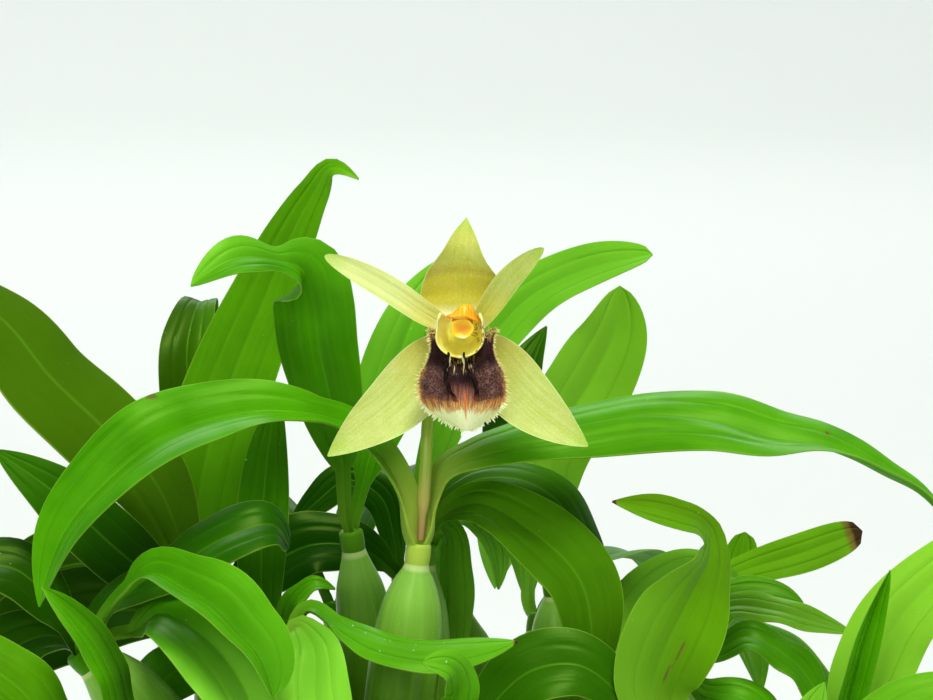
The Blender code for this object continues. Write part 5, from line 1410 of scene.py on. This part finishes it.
def bark_material(name, dark, light, moss):
    g = Graph(name)
    x, y, z = g.parts("kind")
    grain = g.noise(1.0, 5, 0.7, g.vector(x * 0.9, y * 0.25, z * 0.9))
    lumps = g.noise(240, 4, 0.65)
    g.colour = g.mix(g.step(grain, 0.3, 0.7), dark, light)
    g.lay(g.step(lumps, 0.35, 0.7), (0.03, 0.016, 0.01), 0.5)
    green = g.step(g.noise(38, 4, 0.6), 0.62 - 0.1 * moss, 0.72 - 0.1 * moss) * moss
    g.lay(green, g.mix(g.noise(1200, 2), (0.05, 0.12, 0.01), (0.16, 0.24, 0.03)))
    g.bump(lumps * 1.2 + grain, 0.8, 0.0006)
    return g.done(Roughness=0.88, Specular_IOR_Level=0.2)


MEDIUM_SEED = 900
MEDIUM_SEGMENTS = 120
MEDIUM_ROWS = 40
CHIPS = 420
CHIP_CORNERS = 7
CHIP_SIZES = (2.0, 5.2)
# How high the bed's lumps are, and how far in from the rim they begin.
LUMP_HEIGHT = 0.45
LUMP_MARGIN = 6
# How far below its middle the bed's top is, at radii from the middle; its rim comes last.
BED_TOP = [(0, 0), (22, 0.8), (40, 3)]


def make_medium():
    """The growing medium: a lumpy bed under loose bark chips that lie round the pseudobulbs."""
    rng = np.random.default_rng(MEDIUM_SEED)
    skin = Skin()
    crown = CROWN[2]
    side = medium_side(GAP)
    rim = side[0][0]
    bed_top = BED_TOP + [(rim, MEDIUM_EDGE_DROP)]
    top = smooth_profile([(max(r, AXIS_RADIUS), crown - drop) for r, drop in bed_top], MEDIUM_ROWS)
    lumps = rng.uniform(0, FULL_TURN, 6)
    add_lathe(skin, (0, 0, 0), (0, 0, 1), top + side + [(AXIS_RADIUS, VASE_FLOOR + GAP)], MEDIUM_SEGMENTS)
    spots = skin.points[0]
    bed = spots[:, 2] > crown - MEDIUM_EDGE_DROP - 0.5
    x, y = spots[:, 0], spots[:, 1]
    waviness = np.sin(0.31 * x + lumps[0]) * np.sin(0.27 * y + lumps[1])
    waviness += 0.6 * np.sin(0.7 * x - 0.5 * y + lumps[2])
    inside = np.clip((rim - np.hypot(x, y)) / LUMP_MARGIN, 0, 1)
    spots[:, 2] += bed * inside * (LUMP_HEIGHT * waviness - 0.5)
    skin.kind[0] = spots.copy()

    stands = [(spec["base"][:2], spec["thick"] / 2) for spec in GROWTHS.values()]
    placed = 0
    while placed < CHIPS:
        r, a = rim * math.sqrt(rng.uniform(0, 1)), rng.uniform(0, 2 * math.pi)
        spot = np.array([r * math.cos(a), r * math.sin(a)])
        size = rng.uniform(*CHIP_SIZES)
        if r > rim - size - 0.5 or any(np.linalg.norm(spot - at) < wide + 0.35 * size for at,
                                       wide in stands):
            continue
        placed += 1
        drop = np.interp(r, *zip(*bed_top))
        add_chip(skin, rng, np.array([*spot, crown - drop - 0.15 * size]), size)
    mats = [bark_material("bark_bed", (0.045, 0.025, 0.014), (0.12, 0.07, 0.035), 0.6),
            bark_material("bark_chips", (0.10, 0.050, 0.022), (0.30, 0.17, 0.085), 0.5)]
    skin.build("growing_medium", mats, "bark", ["medium"], sharp=35)


def rotation(angle, first, second):
    """A turn by an angle from one axis towards another."""
    turn = np.eye(3)
    turn[[first, second], [first, second]] = math.cos(angle)
    turn[first, second], turn[second, first] = -math.sin(angle), math.sin(angle)
    return turn


# A chip's sections: how high in its thickness, and shares of its reach.
CHIP_SECTIONS = [(-0.5, 0.8), (-0.32, 1.0), (0.3, 1.0), (0.5, 0.72)]


def add_chip(skin, rng, spot, size):
    """Adds one bark chip: a flat seven-sided slab with broken corners, tilted at random."""
    n = CHIP_CORNERS
    angles = np.sort(rng.uniform(0, 2 * np.pi, n) * 0.35 + np.linspace(0, 2 * np.pi, n, endpoint=False))
    reach = size * 0.5 * rng.uniform(0.65, 1.05, n)
    stretch = rng.uniform(0.45, 0.85)
    rings = []
    for z, share in CHIP_SECTIONS:
        out = reach * share * rng.uniform(0.92, 1.06, n)
        rings.append(stacked(out * np.cos(angles), stretch * out * np.sin(angles),
                             z * size * 0.38 + rng.normal(0, 0.05 * size, n)))
    points = np.concatenate(rings)
    turn, tilt = rng.uniform(0, 2 * np.pi), rng.normal(0, 0.35, 2)
    way = rotation(turn, 0, 1) @ rotation(tilt[0], 1, 2) @ rotation(tilt[1], 2, 0)
    kind = points * rng.uniform(0.8, 1.3) + rng.uniform(0, 50, 3)
    skin.add(points @ way.T + spot, ring_faces(len(rings), n), 0 * points, kind, 1)


def glaze_material():
    g = Graph("vase_glaze")
    share, _, _ = g.parts("place")
    cloud = g.noise(16, 3, 0.5)
    g.colour = g.mix(g.step(cloud, 0.3, 0.7), (0.76, 0.75, 0.7), (0.83, 0.82, 0.78))
    specks = g.step(g.cells(260), 0.1, 0.05) * g.step(g.noise(60, 2), 0.5, 0.6)
    g.lay(specks, (0.3, 0.22, 0.14), 0.5)
    foot = g.step(share + g.noise(60, 3) * 0.006, 0.016, 0.012)
    g.lay(foot, g.mix(g.noise(500, 4), (0.46, 0.32, 0.21), (0.58, 0.42, 0.29)))
    rings = g.math("SINE", share * 190.0)
    g.bump(rings * 0.12 + g.noise(300, 3) * 0.25, 0.1, 0.0004)
    rough = 0.13 + foot * 0.6
    return g.done(Roughness=rough, Coat_Weight=0.5, Coat_Roughness=0.06)


VASE_ROWS = 90
VASE_SEGMENTS = 160


def make_vase():
    """The vase, turned as the solid is, with rounder curves and a finer rim and foot."""
    outer = vase_outer()[::-1]
    mouth = VASE_MOUTH_RADIUS - VASE_WALL
    profile = [(AXIS_RADIUS, 0), outer[1]] + smooth_profile(outer[2:-4], VASE_ROWS) + outer[-4:]
    profile += [(mouth + 0.7, VASE_HEIGHT - 0.8), (mouth, VASE_HEIGHT - 3)]
    profile += medium_side(0) + [(AXIS_RADIUS, VASE_FLOOR)]
    skin = Skin()
    add_lathe(skin, (0, 0, 0), (0, 0, 1), profile, VASE_SEGMENTS)
    skin.build("vase_body", [glaze_material()], "glaze", ["vase"], sharp=60)


# The backdrop in metres: its floor, the curve up to its wall, and the wall's top.
FLOOR_RADIUS = 3.0
SWEEP = 1.0
WALL_TOP = 3.0
SWEEP_STEPS = 20
BACKDROP_SIDES = 72
WORLD_COLOUR = (0.96, 1.0, 0.97, 1)
WORLD_STRENGTH = 0.15
# Each soft light: its place and aim in metres, its size, its power and its colour.
LIGHTS = [
    ("fill", (-0.45, -1.3, 0.9), (0, 0, 0.2), (0.6, 0.6), 5.5, (0.97, 1.0, 0.98)),
    ("key", (0.15, -0.60, 1.46), (0, 0, 0.2), (0.5, 0.5), 21, (1.0, 0.99, 0.96)),
    ("back", (-0.25, 2.1, 2.4), (-0.25, 2.1, 0.0), (2.6, 1.8), 62, (0.98, 1.0, 0.98)),
]


def make_stage():
    """A pale round floor that curves up into a plain wall, soft lights and the camera."""
    g = Graph("pale_backdrop")
    soft = g.noise(1.3, 2, 0.4)
    g.colour = g.mix(soft, (0.785, 0.812, 0.795), (0.805, 0.832, 0.815))
    g.done(Roughness=0.9, Specular_IOR_Level=0.1)
    angles = np.linspace(0, math.pi / 2, SWEEP_STEPS)
    turn = [(FLOOR_RADIUS + SWEEP * math.sin(a), SWEEP * (1 - math.cos(a))) for a in angles]
    profile = [(0.001, 0), (0.4 * FLOOR_RADIUS, 0)] + turn + [(FLOOR_RADIUS + SWEEP, WALL_TOP)]
    around = np.linspace(0, 2 * math.pi, BACKDROP_SIDES, endpoint=False)
    verts = [(r * math.cos(a), r * math.sin(a), z) for r, z in profile for a in around]
    faces = ring_faces(len(profile), BACKDROP_SIDES, caps=False) + [tuple(range(BACKDROP_SIDES))]
    mesh = bpy.data.meshes.new("backdrop")
    mesh.from_pydata(verts, [], faces)
    mesh.materials.append(g.mat)
    mesh.shade_smooth()
    add_object("backdrop", mesh)

    world = bpy.data.worlds.new("studio")
    bpy.context.scene.world = world
    world.use_nodes = True
    sky, strength = world.node_tree.nodes["Background"].inputs[:2]
    sky.default_value = WORLD_COLOUR
    strength.default_value = WORLD_STRENGTH
    for name, spot, aim, size, watts, colour in LIGHTS:
        lamp = bpy.data.lights.new(name, "AREA")
        lamp.shape = "RECTANGLE"
        lamp.size, lamp.size_y = size
        lamp.energy = watts
        lamp.color = colour
        obj = add_object(name, lamp)
        obj.location = spot
        obj.rotation_euler = (Vector(aim) - Vector(spot)).to_track_quat("-Z", "Y").to_euler()

    camera = bpy.data.cameras.new("camera")
    view = add_object("camera", camera)
    drop = math.radians(CAMERA_DROP)
    looking = Vector((0, math.cos(drop), -math.sin(drop)))
    view.location = (Vector(CAMERA_TARGET) - looking * CAMERA_DISTANCE) * MM
    view.rotation_euler = looking.to_track_quat("-Z", "Y").to_euler()
    camera.sensor_width = 36
    camera.lens = camera.sensor_width * CAMERA_DISTANCE / PHOTO_WIDTH_MM
    camera.clip_start = 0.01
    bpy.context.scene.camera = view
    bpy.context.scene.view_settings.view_transform = "Standard"
    bpy.context.scene.view_settings.look = "None"


make_vase()
make_medium()
make_bulbs()
make_foliage()
make_stalk()
make_tepals()
make_lip()
make_column()
make_stage()
